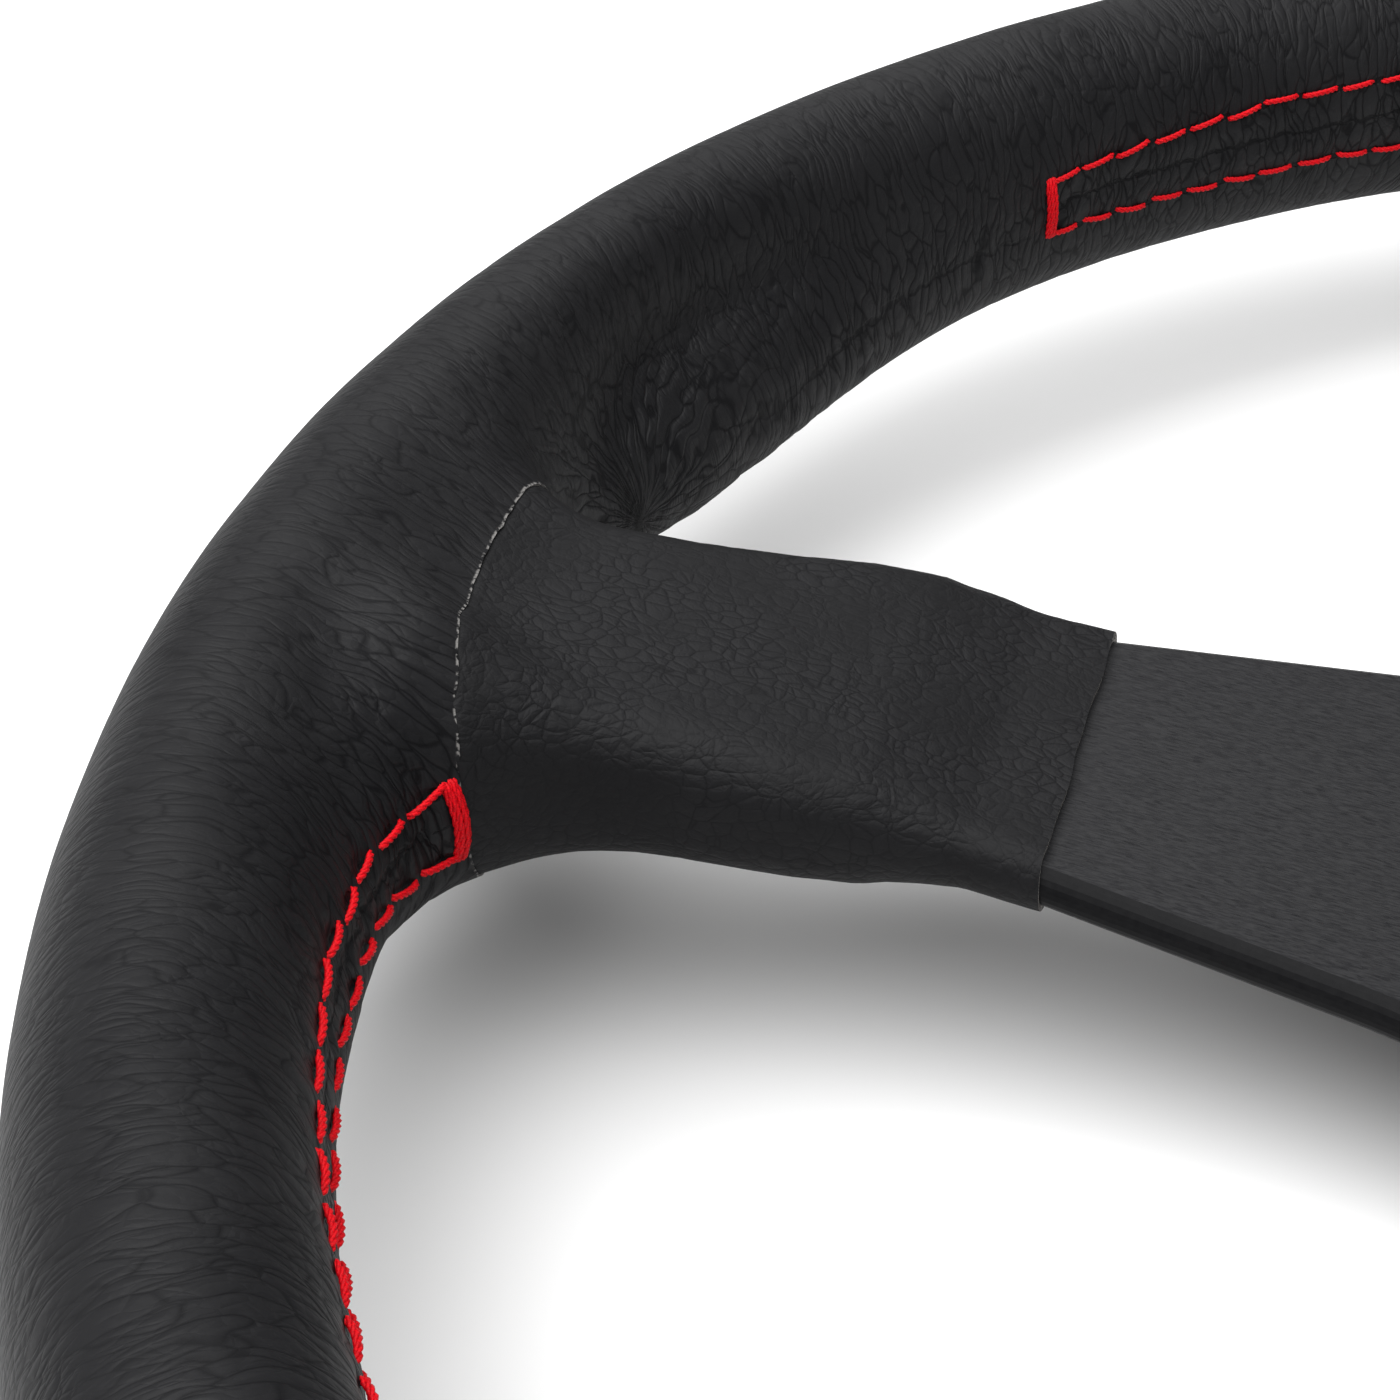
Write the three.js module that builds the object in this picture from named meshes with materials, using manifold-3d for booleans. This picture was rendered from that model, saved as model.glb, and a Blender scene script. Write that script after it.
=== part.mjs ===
// Three-spoke leather steering wheel with the wheel side of a ball-lock quick release.
// Millimetres. +Z points along the steering axis to the driver, +Y to twelve o'clock.
// The origin is on the steering axis, on the face that seats on the column.

import * as THREE from 'three';
import { mergeVertices } from 'three/addons/utils/BufferGeometryUtils.js';
import Module from 'manifold-3d';

const wasm = await Module();
wasm.setup();

// Gap kept between neighbouring pieces.
const GAP = 0.3;
// Distance within which two corners of a mesh are the same corner.
const WELD = 1e-3;

// Rim. The section is an ellipse, deeper along the axis than it is wide.
const RIM_RADIUS = 175;
const RIM_HALF_WIDTH = 11.4;
const RIM_HALF_DEPTH = 15.8;
const RIM_CENTRE = RIM_RADIUS - RIM_HALF_WIDTH;
const RIM_Z = 35;
const RIM_SIDES = 12;
const RIM_STEPS = 48;
const LEATHER = 1.2;
const SEAM_SLIT = 0.6;

// Thumb hollows, pressed into the rim beside the two level spokes.
const HOLLOW_DEPTH = 4.6;
const HOLLOW_ANGLES = [THREE.MathUtils.degToRad(18), THREE.MathUtils.degToRad(162)];
const HOLLOW_SPREAD = 0.13;
const HOLLOW_SECTION_ANGLE = 2.7;
const HOLLOW_SECTION_SPREAD = 0.65;

// Core ring and spoke plate.
const CORE_HALF_WIDTH = 4;
const CORE_BOTTOM = 25.2;
const CORE_TOP = 32.2;
const PLATE_THICKNESS = 4;
const PLATE_BOTTOM = 15;
const PLATE_TOP = PLATE_BOTTOM + PLATE_THICKNESS;
const PLATE_EDGE_ROUND = 1.7;
const HUB_RADIUS = 48;
const HUB_FILLET = 25;
const LOWER_FILLET = 55;
const BEND_RADIUS = 45;
const SPOKE_SLOPE = 0.163;
const TAB_START = 152;
const TAB_END = 170;
const TAB_HALF_WIDTH = 13.5;
const TAB_NECK = 112;
const LEATHER_END = 96;

// Straight edges of the spokes where the leather ends: offset from the spoke's own line,
// and how fast that offset grows towards the hub.
const UPPER_EDGE = { offset: 20.7, taper: 0.236 };
const LOWER_EDGE = { offset: 15.7, taper: 0.152 };
const BOTTOM_EDGE = { offset: 18.5, taper: 0.2 };
const RIVET_RADIUS = 2.3;
const RIVET_HEAD_RADIUS = 4;

// Spokes of the wheel. The side turns a spoke's left edge towards twelve o'clock.
const SPOKES = [
  { name: 'left', angle: Math.PI, side: -1 },
  { name: 'right', angle: 0, side: 1 },
  { name: 'bottom', angle: -Math.PI / 2, side: 0 },
];

// Padded leather over each spoke: distance from the axis, reach towards twelve o'clock,
// reach towards six o'clock, and height above and below the middle of the plate.
const PAD_STATIONS = [
  [LEATHER_END, 22.3, 17.3, 3.7, 3.7],
  [104, 22.1, 17.3, 4.1, 4.3],
  [112, 21.8, 17.6, 5.8, 6.4],
  [124, 20.2, 18.4, 6.7, 7.6],
  [140, 18.5, 19.4, 7.6, 9.6],
  [150, 18.5, 22.0, 8.6, 11.0],
  [164, 19.5, 25.0, 9.6, 12.4],
];
const PAD_SIDES = 16;
const PAD_SQUARENESS = 0.62;
const PAD_FOAM_START = 105;

// Stitching: two rows along the inside of the rim, joined by a tack at each end.
const THREAD = 0.8;
const STITCH_ROW_ANGLES = [2.946, 3.476];
const STITCH_STEP = THREE.MathUtils.degToRad(5);
const STITCH_RUNS = [
  { name: 'stitching_top', from: 40, to: 140 },
  { name: 'stitching_lower_left', from: 191, to: 257 },
  { name: 'stitching_lower_right', from: 283, to: 349 },
];

// Hub bolts and the ring under their heads.
const BOLT_COUNT = 6;
const BOLT_CIRCLE_RADIUS = 35;
const BOLT_RADIUS = 2.35;
const BOLT_HEAD_RADIUS = 4.6;
const BOLT_TIP = 11.8;
const RING_TOP = 22;

// Quick release coupling.
const COUPLING_SEGMENTS = 36;
const BORE_RADIUS = 17;
const SPLINE_TIP_RADIUS = 15.2;
const SPLINE_COUNT = 12;
const SPLINE_START = 9.6;
const BOSS_RADIUS = 21.4;
const FLANGE_BOTTOM = 11;
const FLANGE_TOP = PLATE_BOTTOM - GAP;
const FLANGE_RADIUS = 42;
const BALL_COUNT = 6;
const BALL_RADIUS = 3;
const BALL_HOLE_RADIUS = 3.2;
const BALL_Z = 6;
const BALL_CENTRE = 18.5;
const COLLAR_BOTTOM = 2;
const COLLAR_TOP = 7.4;
const COLLAR_LAND_RADIUS = 22;
const COLLAR_RADIUS = 32;
const COLLAR_LIP_RADIUS = 35.5;
const COLLAR_RELEASE_SLOPE = 0.5;
const POCKET_INNER = 25.2;
const POCKET_OUTER = 28.8;
const POCKET_FLOOR = 3.2;
const GRIP_NOTCHES = 12;
const CLIP_GROOVE_RADIUS = 20.4;

const group = new THREE.Group();

const leatherBlack = { color: 0x35353a, roughness: 0.55, metalness: 0 };
const anodisedBlack = { color: 0x3a3a3b, roughness: 0.4, metalness: 0.6 };
const machinedAlloy = { color: 0xb8babd, roughness: 0.35, metalness: 0.9 };
const hardenedSteel = { color: 0xc8cacc, roughness: 0.2, metalness: 1 };
const blackSteel = { color: 0x26262a, roughness: 0.4, metalness: 0.8 };
const padFoam = { color: 0x4a4640, roughness: 0.95, metalness: 0 };
const redThread = { color: 0xd01020, roughness: 0.6, metalness: 0 };
const mouldedPlastic = { color: 0x1c1c1e, roughness: 0.5, metalness: 0 };
const brass = { color: 0xb8923c, roughness: 0.35, metalness: 0.9 };

function addPart(name, geometry, finish) {
  const mesh = new THREE.Mesh(geometry, new THREE.MeshStandardMaterial(finish));
  mesh.name = name;
  group.add(mesh);
  return mesh;
}

// ---------------------------------------------------------------- solids

function solid(geometry) {
  const bare = geometry.clone();
  bare.deleteAttribute('normal');
  bare.deleteAttribute('uv');
  const merged = mergeVertices(bare, WELD);
  const vertProperties = new Float32Array(merged.attributes.position.array);
  const triVerts = new Uint32Array(merged.index.array);
  return new wasm.Manifold(new wasm.Mesh({ numProp: 3, vertProperties, triVerts }));
}

// Corners closer together than the weld distance become one, and flat triangles go.
function geometryOf(manifold) {
  const mesh = manifold.getMesh();
  const geometry = new THREE.BufferGeometry();
  geometry.setAttribute('position', new THREE.BufferAttribute(mesh.vertProperties, 3));
  geometry.setIndex(new THREE.BufferAttribute(mesh.triVerts, 1));
  const welded = mergeVertices(geometry, WELD);
  const corners = welded.index.array;
  const kept = [];
  for (let i = 0; i < corners.length; i += 3) {
    const [a, b, c] = corners.slice(i, i + 3);
    if (a !== b && b !== c && c !== a) {
      kept.push(a, b, c);
    }
  }
  return welded.setIndex(kept);
}

// A ring or disc turned about Z from a closed profile of [radius, z] points.
function turned(profile, segments = COUPLING_SEGMENTS) {
  const points = profile.map(([radius, z]) => new THREE.Vector2(radius, z));
  const onAxis = profile[0][0] === 0 && profile[profile.length - 1][0] === 0;
  if (!onAxis) {
    points.push(points[0].clone());
  }
  return new THREE.LatheGeometry(points, segments).rotateX(Math.PI / 2);
}

function annulus(inner, outer, bottom, top, segments = COUPLING_SEGMENTS) {
  return turned([[inner, bottom], [outer, bottom], [outer, top], [inner, top]], segments);
}

function rod(radius, bottom, top, segments = 16) {
  const geometry = new THREE.CylinderGeometry(radius, radius, top - bottom, segments);
  return geometry.rotateX(Math.PI / 2).translate(0, 0, (bottom + top) / 2);
}

function around(geometry, angle) {
  return geometry.clone().rotateZ(angle);
}

class Helix extends THREE.Curve {
  constructor(radius, bottom, top, turns) {
    super();
    Object.assign(this, { radius, bottom, top, turns });
  }

  getPoint(t, target = new THREE.Vector3()) {
    const angle = t * this.turns * Math.PI * 2;
    const z = THREE.MathUtils.lerp(this.bottom, this.top, t);
    return target.set(this.radius * Math.cos(angle), this.radius * Math.sin(angle), z);
  }
}

function roundSection(radius, sides) {
  const shape = new THREE.Shape();
  for (let i = 0; i < sides; i += 1) {
    const angle = (i / sides) * Math.PI * 2;
    const point = [radius * Math.cos(angle), radius * Math.sin(angle)];
    if (i === 0) {
      shape.moveTo(...point);
    } else {
      shape.lineTo(...point);
    }
  }
  shape.closePath();
  return shape;
}

function coil(radius, wire, bottom, top, turns) {
  const path = new Helix(radius, bottom + wire / 2, top - wire / 2, turns);
  const steps = Math.round(turns * 16);
  const section = roundSection(wire / 2, 5);
  return new THREE.ExtrudeGeometry(section, { steps, bevelEnabled: false, extrudePath: path });
}

// ---------------------------------------------------------------- rim

function wrappedAngle(angle) {
  return Math.atan2(Math.sin(angle), Math.cos(angle));
}

// How far the thumb hollows press the surface in at a place on the rim.
function hollowDepth(ringAngle, sectionAngle) {
  const across = wrappedAngle(sectionAngle - HOLLOW_SECTION_ANGLE) / HOLLOW_SECTION_SPREAD;
  let depth = 0;
  for (const centre of HOLLOW_ANGLES) {
    const along = wrappedAngle(ringAngle - centre) / HOLLOW_SPREAD;
    depth += HOLLOW_DEPTH * Math.exp(-along * along - across * across);
  }
  return depth;
}

// The rim's outer form, inset by a thickness measured inward, with or without its hollows.
function rimForm(inset, hollowed = true) {
  const geometry = new THREE.TorusGeometry(RIM_CENTRE, 1, RIM_SIDES, RIM_STEPS);
  const position = geometry.attributes.position;
  const vertex = new THREE.Vector3();
  for (let i = 0; i < position.count; i += 1) {
    vertex.fromBufferAttribute(position, i);
    const ringAngle = Math.atan2(vertex.y, vertex.x);
    const radial = Math.hypot(vertex.x, vertex.y) - RIM_CENTRE;
    const sectionAngle = Math.atan2(vertex.z, radial);
    const press = inset + (hollowed ? hollowDepth(ringAngle, sectionAngle) : 0);
    const radius = RIM_CENTRE + radial * (RIM_HALF_WIDTH - press);
    const z = RIM_Z + vertex.z * (RIM_HALF_DEPTH - press);
    position.setXYZ(i, radius * Math.cos(ringAngle), radius * Math.sin(ringAngle), z);
  }
  return solid(geometry);
}

// ---------------------------------------------------------------- spokes

// Height of the middle of the plate at a distance from the axis.
function plateMiddle(distance) {
  const run = THREE.MathUtils.clamp(distance, BEND_RADIUS, TAB_START) - BEND_RADIUS;
  return (PLATE_BOTTOM + PLATE_TOP) / 2 + SPOKE_SLOPE * run;
}

// Reach of a pad each way from the spoke's line and the plate's middle, left edge first.
function padSize(distance, side) {
  let i = 0;
  while (i < PAD_STATIONS.length - 2 && distance > PAD_STATIONS[i + 1][0]) {
    i += 1;
  }
  const near = PAD_STATIONS[i];
  const far = PAD_STATIONS[i + 1];
  const t = THREE.MathUtils.clamp((distance - near[0]) / (far[0] - near[0]), 0, 1);
  const [, upper, lower, above, below] = near.map((value, k) => THREE.MathUtils.lerp(value, far[k], t));
  const mean = (upper + lower) / 2;
  const half = (upper - lower) / 2;
  return { left: mean + side * half, right: mean - side * half, above, below };
}

// Rounded pad along +X from one distance to another, smaller all round by the inset.
function padForm(start, end, inset, side) {
  const stations = [start, ...PAD_STATIONS.map(([x]) => x).filter((x) => x > start && x < end), end];
  const geometry = new THREE.CylinderGeometry(1, 1, 1, PAD_SIDES, stations.length - 1);
  geometry.rotateZ(-Math.PI / 2);
  const position = geometry.attributes.position;
  for (let i = 0; i < position.count; i += 1) {
    const station = Math.round((position.getX(i) + 0.5) * (stations.length - 1));
    const distance = stations[station];
    const { left, right, above, below } = padSize(distance, side);
    const y = position.getY(i);
    const z = position.getZ(i);
    const squareY = Math.sign(y) * Math.abs(y) ** PAD_SQUARENESS;
    const squareZ = Math.sign(z) * Math.abs(z) ** PAD_SQUARENESS;
    const across = (left - right) / 2 + squareY * ((left + right) / 2 - inset);
    const height = (above - below) / 2 + squareZ * ((above + below) / 2 - inset);
    position.setXYZ(i, distance, across, plateMiddle(distance) + height);
  }
  return geometry;
}

// A straight edge as a line: its outward normal, its distance from the axis and its
// point at the leather's end, turned to lie along a spoke.
function edgeLine({ offset, taper }, angle, left) {
  const sign = left ? 1 : -1;
  const origin = new THREE.Vector2();
  const normal = new THREE.Vector2(taper, sign).normalize().rotateAround(origin, angle);
  const anchor = new THREE.Vector2(LEATHER_END, sign * offset).rotateAround(origin, angle);
  return { normal, anchor, distance: normal.dot(anchor) };
}

function arcPoints(centre, radius, from, to, clockwise) {
  const start = from.clone().sub(centre).angle();
  const end = to.clone().sub(centre).angle();
  const arc = new THREE.EllipseCurve(centre.x, centre.y, radius, radius, start, end, clockwise);
  return arc.getPoints(8);
}

// Arc from the hub circle into the upper edge of the right spoke.
function upperFillet(edge) {
  const reach = HUB_RADIUS + HUB_FILLET;
  const offset = edge.distance + HUB_FILLET;
  const along = new THREE.Vector2(edge.normal.y, -edge.normal.x);
  const centre = edge.normal.clone().multiplyScalar(offset);
  centre.addScaledVector(along, Math.sqrt(reach * reach - offset * offset));
  const hubEnd = centre.clone().multiplyScalar(HUB_RADIUS / reach);
  const edgeEnd = centre.clone().addScaledVector(edge.normal, -HUB_FILLET);
  return arcPoints(centre, HUB_FILLET, hubEnd, edgeEnd, false);
}

// Arc between the lower edge of the right spoke and the right edge of the bottom spoke.
function lowerFillet(edge, nextEdge) {
  const a = edge.normal;
  const b = nextEdge.normal;
  const first = edge.distance + LOWER_FILLET;
  const second = nextEdge.distance + LOWER_FILLET;
  const cross = a.cross(b);
  const centre = new THREE.Vector2(first * b.y - second * a.y, second * a.x - first * b.x);
  centre.divideScalar(cross);
  const start = centre.clone().addScaledVector(a, -LOWER_FILLET);
  const end = centre.clone().addScaledVector(b, -LOWER_FILLET);
  return arcPoints(centre, LOWER_FILLET, start, end, false);
}

// Outline of the whole plate, flat, clockwise from twelve o'clock.
function plateOutline() {
  const upper = edgeLine(UPPER_EDGE, 0, true);
  const lower = edgeLine(LOWER_EDGE, 0, false);
  const bottom = edgeLine(BOTTOM_EDGE, -Math.PI / 2, true);
  const fillet = upperFillet(upper);
  const top = new THREE.Vector2(0, HUB_RADIUS);
  const hubArc = arcPoints(new THREE.Vector2(), HUB_RADIUS, top, fillet[0], true).slice(0, -1);
  const half = [
    ...hubArc,
    ...fillet,
    upper.anchor,
    new THREE.Vector2(TAB_NECK, TAB_HALF_WIDTH),
    new THREE.Vector2(TAB_END, TAB_HALF_WIDTH),
    new THREE.Vector2(TAB_END, -TAB_HALF_WIDTH),
    new THREE.Vector2(TAB_NECK, -TAB_HALF_WIDTH),
    lower.anchor,
    ...lowerFillet(lower, bottom),
    bottom.anchor,
    new THREE.Vector2(TAB_HALF_WIDTH, -TAB_NECK),
    new THREE.Vector2(TAB_HALF_WIDTH, -TAB_END),
  ];
  const otherHalf = half.slice(1).map((point) => new THREE.Vector2(-point.x, point.y)).reverse();
  return half.concat(otherHalf);
}

// The plate is cut along its bend lines, joined again and bent by moving its corners.
function bentPlate(flat) {
  const pieces = [];
  let rest = flat;
  for (const { angle } of SPOKES) {
    const direction = [Math.cos(angle), Math.sin(angle), 0];
    const [spoke, hub] = rest.splitByPlane(direction, BEND_RADIUS);
    pieces.push(...spoke.splitByPlane(direction, TAB_START));
    rest = hub;
  }
  const joined = pieces.reduce((whole, piece) => whole.add(solid(geometryOf(piece))), rest);
  const geometry = geometryOf(joined);
  const position = geometry.attributes.position;
  for (let i = 0; i < position.count; i += 1) {
    const distance = Math.max(Math.abs(position.getX(i)), -position.getY(i));
    position.setZ(i, position.getZ(i) + plateMiddle(distance) - plateMiddle(0));
  }
  return solid(geometry);
}

// The plate with rounded edges, larger all round by an amount.
function plateForm(grow) {
  const outline = new THREE.Shape(plateOutline());
  const flat = new THREE.ExtrudeGeometry(outline, {
    depth: PLATE_THICKNESS + 2 * (grow - PLATE_EDGE_ROUND),
    bevelThickness: PLATE_EDGE_ROUND,
    bevelSize: PLATE_EDGE_ROUND,
    bevelOffset: grow - PLATE_EDGE_ROUND,
    bevelSegments: 3,
  });
  return bentPlate(solid(flat.translate(0, 0, PLATE_BOTTOM - grow + PLATE_EDGE_ROUND)));
}

function boltProfile(grow) {
  const neck = RING_TOP - (BOLT_HEAD_RADIUS - BOLT_RADIUS);
  const bottom = grow > 0 ? 0 : BOLT_TIP;
  const top = grow > 0 ? RING_TOP + 1 : RING_TOP;
  return [
    [0, bottom],
    [BOLT_RADIUS + grow, bottom],
    [BOLT_RADIUS + grow, neck],
    [BOLT_HEAD_RADIUS + grow, RING_TOP],
    [BOLT_HEAD_RADIUS + grow, top + 0.01],
    [0, top + 0.01],
  ];
}

function boltPlace(index) {
  const angle = (index / BOLT_COUNT) * Math.PI * 2 + Math.PI / 6;
  return [BOLT_CIRCLE_RADIUS * Math.cos(angle), BOLT_CIRCLE_RADIUS * Math.sin(angle)];
}

function withBoltHoles(body) {
  let drilled = body;
  for (let i = 0; i < BOLT_COUNT; i += 1) {
    const [x, y] = boltPlace(i);
    drilled = drilled.subtract(solid(turned(boltProfile(GAP), 10).translate(x, y, 0)));
  }
  return drilled;
}

function rivetForm(grow) {
  const tabTop = plateMiddle(TAB_END) + PLATE_THICKNESS / 2;
  return turned([
    [0, CORE_BOTTOM + 0.8 - grow],
    [RIVET_RADIUS + grow, CORE_BOTTOM + 0.8 - grow],
    [RIVET_RADIUS + grow, tabTop + GAP - grow],
    [RIVET_HEAD_RADIUS + grow, tabTop + GAP - grow],
    [RIVET_HEAD_RADIUS - 0.8 + grow, tabTop + GAP + 1.8 + grow],
    [0, tabTop + GAP + 1.8 + grow],
  ], 12).translate(RIM_CENTRE, 0, 0);
}

function coreForm(grow) {
  return solid(annulus(
    RIM_CENTRE - CORE_HALF_WIDTH - grow,
    RIM_CENTRE + CORE_HALF_WIDTH + grow,
    CORE_BOTTOM - grow,
    CORE_TOP + grow,
    RIM_STEPS,
  ));
}

function buildFrame() {
  let plate = plateForm(0).subtract(solid(rod(25, 0, 60, 36)));
  plate = withBoltHoles(plate);
  let core = coreForm(0);
  for (const { name, angle } of SPOKES) {
    const hole = solid(around(rivetForm(GAP), angle));
    plate = plate.subtract(hole);
    core = core.subtract(hole);
    addPart(`tab_rivet_${name}`, around(rivetForm(0), angle), hardenedSteel);
  }
  addPart('spoke_plate', geometryOf(plate), anodisedBlack);
  addPart('rim_core_ring', geometryOf(core), machinedAlloy);
}

function buildFoam() {
  let foam = rimForm(LEATHER + GAP);
  for (const { angle, side } of SPOKES) {
    const pad = padForm(PAD_FOAM_START, RIM_CENTRE, LEATHER + GAP, side);
    foam = foam.add(solid(around(pad, angle)));
  }
  foam = foam.subtract(coreForm(GAP)).subtract(plateForm(GAP));
  for (const { angle } of SPOKES) {
    foam = foam.subtract(solid(around(rivetForm(GAP), angle)));
  }
  addPart('rim_foam', geometryOf(foam), padFoam);
}

function buildRimLeather() {
  const slit = annulus(146, 160, RIM_Z - SEAM_SLIT / 2, RIM_Z + SEAM_SLIT / 2, RIM_STEPS);
  let leather = rimForm(0).subtract(rimForm(LEATHER)).subtract(solid(slit));
  for (const { angle, side } of SPOKES) {
    const opening = padForm(130, RIM_CENTRE, -GAP, side);
    leather = leather.subtract(solid(around(opening, angle)));
  }
  addPart('rim_leather', geometryOf(leather), leatherBlack);
}

function buildSpokeLeather() {
  const plate = plateForm(GAP);
  const rim = rimForm(-GAP, false);
  for (const { name, angle, side } of SPOKES) {
    const outer = solid(around(padForm(LEATHER_END, RIM_CENTRE, 0, side), angle));
    const inner = solid(around(padForm(LEATHER_END - 5, RIM_CENTRE + 5, LEATHER, side), angle));
    const sleeve = outer.subtract(inner).subtract(plate).subtract(rim);
    addPart(`spoke_leather_${name}`, geometryOf(sleeve), leatherBlack);
  }
}

// One thread: along a row, across the tack, back along the other row and across again.
function buildStitching() {
  const lift = 2.5 * GAP + THREAD / 2;
  const place = (ringAngle, sectionAngle) => {
    const radius = RIM_CENTRE + (RIM_HALF_WIDTH + lift) * Math.cos(sectionAngle);
    const z = RIM_Z + (RIM_HALF_DEPTH + lift) * Math.sin(sectionAngle);
    return new THREE.Vector3(radius * Math.cos(ringAngle), radius * Math.sin(ringAngle), z);
  };
  for (const { name, from, to } of STITCH_RUNS) {
    const start = THREE.MathUtils.degToRad(from);
    const end = THREE.MathUtils.degToRad(to);
    const steps = Math.round((end - start) / STITCH_STEP);
    const points = [];
    const [upper, lower] = STITCH_ROW_ANGLES;
    for (let i = 0; i <= steps; i += 1) {
      points.push(place(THREE.MathUtils.lerp(start, end, i / steps), upper));
    }
    for (let i = steps; i >= 0; i -= 1) {
      points.push(place(THREE.MathUtils.lerp(start, end, i / steps), lower));
    }
    points.push(place(start, THREE.MathUtils.lerp(lower, upper, 0.75)));
    const thread = new THREE.CatmullRomCurve3(points, false, 'catmullrom', 0.1);
    const section = roundSection(THREAD / 2, 4);
    const extrusion = { steps: points.length - 1, bevelEnabled: false, extrudePath: thread };
    addPart(name, new THREE.ExtrudeGeometry(section, extrusion), redThread);
  }
}

// ---------------------------------------------------------------- hub

function buildBoltRing() {
  const ring = turned([
    [28.8, 19.3],
    [41, 19.3],
    [41, 21.2],
    [40.2, RING_TOP],
    [26.9, RING_TOP],
    [26.4, 21.5],
    [26.4, 20.8],
    [28.8, 20.8],
  ]);
  addPart('bolt_ring', geometryOf(withBoltHoles(solid(ring))), anodisedBlack);

  const socket = rod(1.7, RING_TOP - 2, RING_TOP + 1, 6);
  const bolt = geometryOf(solid(turned(boltProfile(0), 10)).subtract(solid(socket)));
  for (let i = 0; i < BOLT_COUNT; i += 1) {
    const [x, y] = boltPlace(i);
    addPart(`wheel_bolt_${i + 1}`, bolt.clone(), blackSteel).position.set(x, y, 0);
  }
}

function buildHornButton() {
  addPart('horn_housing', turned([
    [4, 15.2],
    [24.7, 15.2],
    [24.7, 19.3],
    [28.5, 19.3],
    [28.5, 20.5],
    [26.1, 20.5],
    [26.1, 24.5],
    [22, 24.5],
    [22, 23.6],
    [22.9, 23.6],
    [22.9, 16.6],
    [4, 16.6],
  ], 24), mouldedPlastic);
  addPart('horn_cap', turned([
    [0, 25.7],
    [11, 25.3],
    [19, 24.2],
    [20.7, 23],
    [20.7, 20.4],
    [22.5, 20.4],
    [22.5, 23.2],
    [21.6, 23.2],
    [21.6, 25],
    [19.5, 26.2],
    [11, 27.3],
    [0, 27.7],
  ], 24), mouldedPlastic);
  addPart('horn_contact_fixed', annulus(13, 20.4, 16.9, 17.6, 24), brass);
  addPart('horn_contact_moving', annulus(13, 20.4, 20.5, 21.2, 24), brass);
  addPart('horn_spring', coil(9, 1, 16.9, 25, 3.5), hardenedSteel);
  addPart('horn_feed_bush', annulus(1.8, 3.7, 14.6, 17.4, 16), mouldedPlastic);
  addPart('horn_feed_pin', rod(1.5, 13, 18.6, 12), brass);
}

// ---------------------------------------------------------------- quick release

function buildCouplingBody() {
  let body = solid(turned([
    [BORE_RADIUS, 0],
    [BOSS_RADIUS, 0],
    [BOSS_RADIUS, 0.6],
    [CLIP_GROOVE_RADIUS, 0.6],
    [CLIP_GROOVE_RADIUS, 1.8],
    [BOSS_RADIUS, 1.8],
    [BOSS_RADIUS, FLANGE_BOTTOM],
    [FLANGE_RADIUS, FLANGE_BOTTOM],
    [FLANGE_RADIUS, FLANGE_TOP],
    [SPLINE_TIP_RADIUS, FLANGE_TOP],
    [SPLINE_TIP_RADIUS, SPLINE_START],
    [BORE_RADIUS, SPLINE_START],
  ]));
  for (let i = 0; i < SPLINE_COUNT; i += 1) {
    const slot = new THREE.BoxGeometry(6, 3.4, 20);
    slot.translate(BORE_RADIUS - 3, 0, 15);
    body = body.subtract(solid(around(slot, ((i + 0.5) / SPLINE_COUNT) * Math.PI * 2)));
  }
  for (let i = 0; i < BALL_COUNT; i += 1) {
    const hole = new THREE.CylinderGeometry(BALL_HOLE_RADIUS, BALL_HOLE_RADIUS, 10, 12);
    hole.rotateZ(Math.PI / 2).translate(BORE_RADIUS + 2, 0, BALL_Z);
    body = body.subtract(solid(around(hole, (i / BALL_COUNT) * Math.PI * 2)));
  }
  addPart('coupling_body', geometryOf(withBoltHoles(body)), machinedAlloy);
}

function buildCollar() {
  const taperBottom = COLLAR_BOTTOM + 0.6;
  const taperRadius = COLLAR_LAND_RADIUS + COLLAR_RELEASE_SLOPE * (BALL_Z - taperBottom);
  let collar = solid(turned([
    [taperRadius, COLLAR_BOTTOM],
    [COLLAR_LIP_RADIUS, COLLAR_BOTTOM],
    [COLLAR_LIP_RADIUS, COLLAR_BOTTOM + 2.4],
    [COLLAR_RADIUS, COLLAR_BOTTOM + 3.2],
    [COLLAR_RADIUS, COLLAR_TOP],
    [POCKET_OUTER, COLLAR_TOP],
    [POCKET_OUTER, POCKET_FLOOR],
    [POCKET_INNER, POCKET_FLOOR],
    [POCKET_INNER, COLLAR_TOP],
    [COLLAR_LAND_RADIUS, COLLAR_TOP],
    [COLLAR_LAND_RADIUS, BALL_Z],
    [taperRadius, taperBottom],
  ]));
  for (let i = 0; i < GRIP_NOTCHES; i += 1) {
    const notch = rod(3.6, 0, FLANGE_BOTTOM, 8).translate(COLLAR_LIP_RADIUS + 2, 0, 0);
    collar = collar.subtract(solid(around(notch, ((i + 0.5) / GRIP_NOTCHES) * Math.PI * 2)));
  }
  addPart('release_collar', geometryOf(collar), { color: 0xa01820, roughness: 0.35, metalness: 0.7 });
  addPart('collar_spring', coil(27, 1.3, POCKET_FLOOR + GAP, FLANGE_BOTTOM - GAP, 2.5), hardenedSteel);

  const clip = solid(annulus(CLIP_GROOVE_RADIUS + GAP, 25, 0.75, 1.65));
  const mouth = new THREE.BoxGeometry(8, 5, 4).translate(CLIP_GROOVE_RADIUS + 2, 0, 1);
  addPart('collar_circlip', geometryOf(clip.subtract(solid(mouth))), blackSteel);
}

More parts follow.
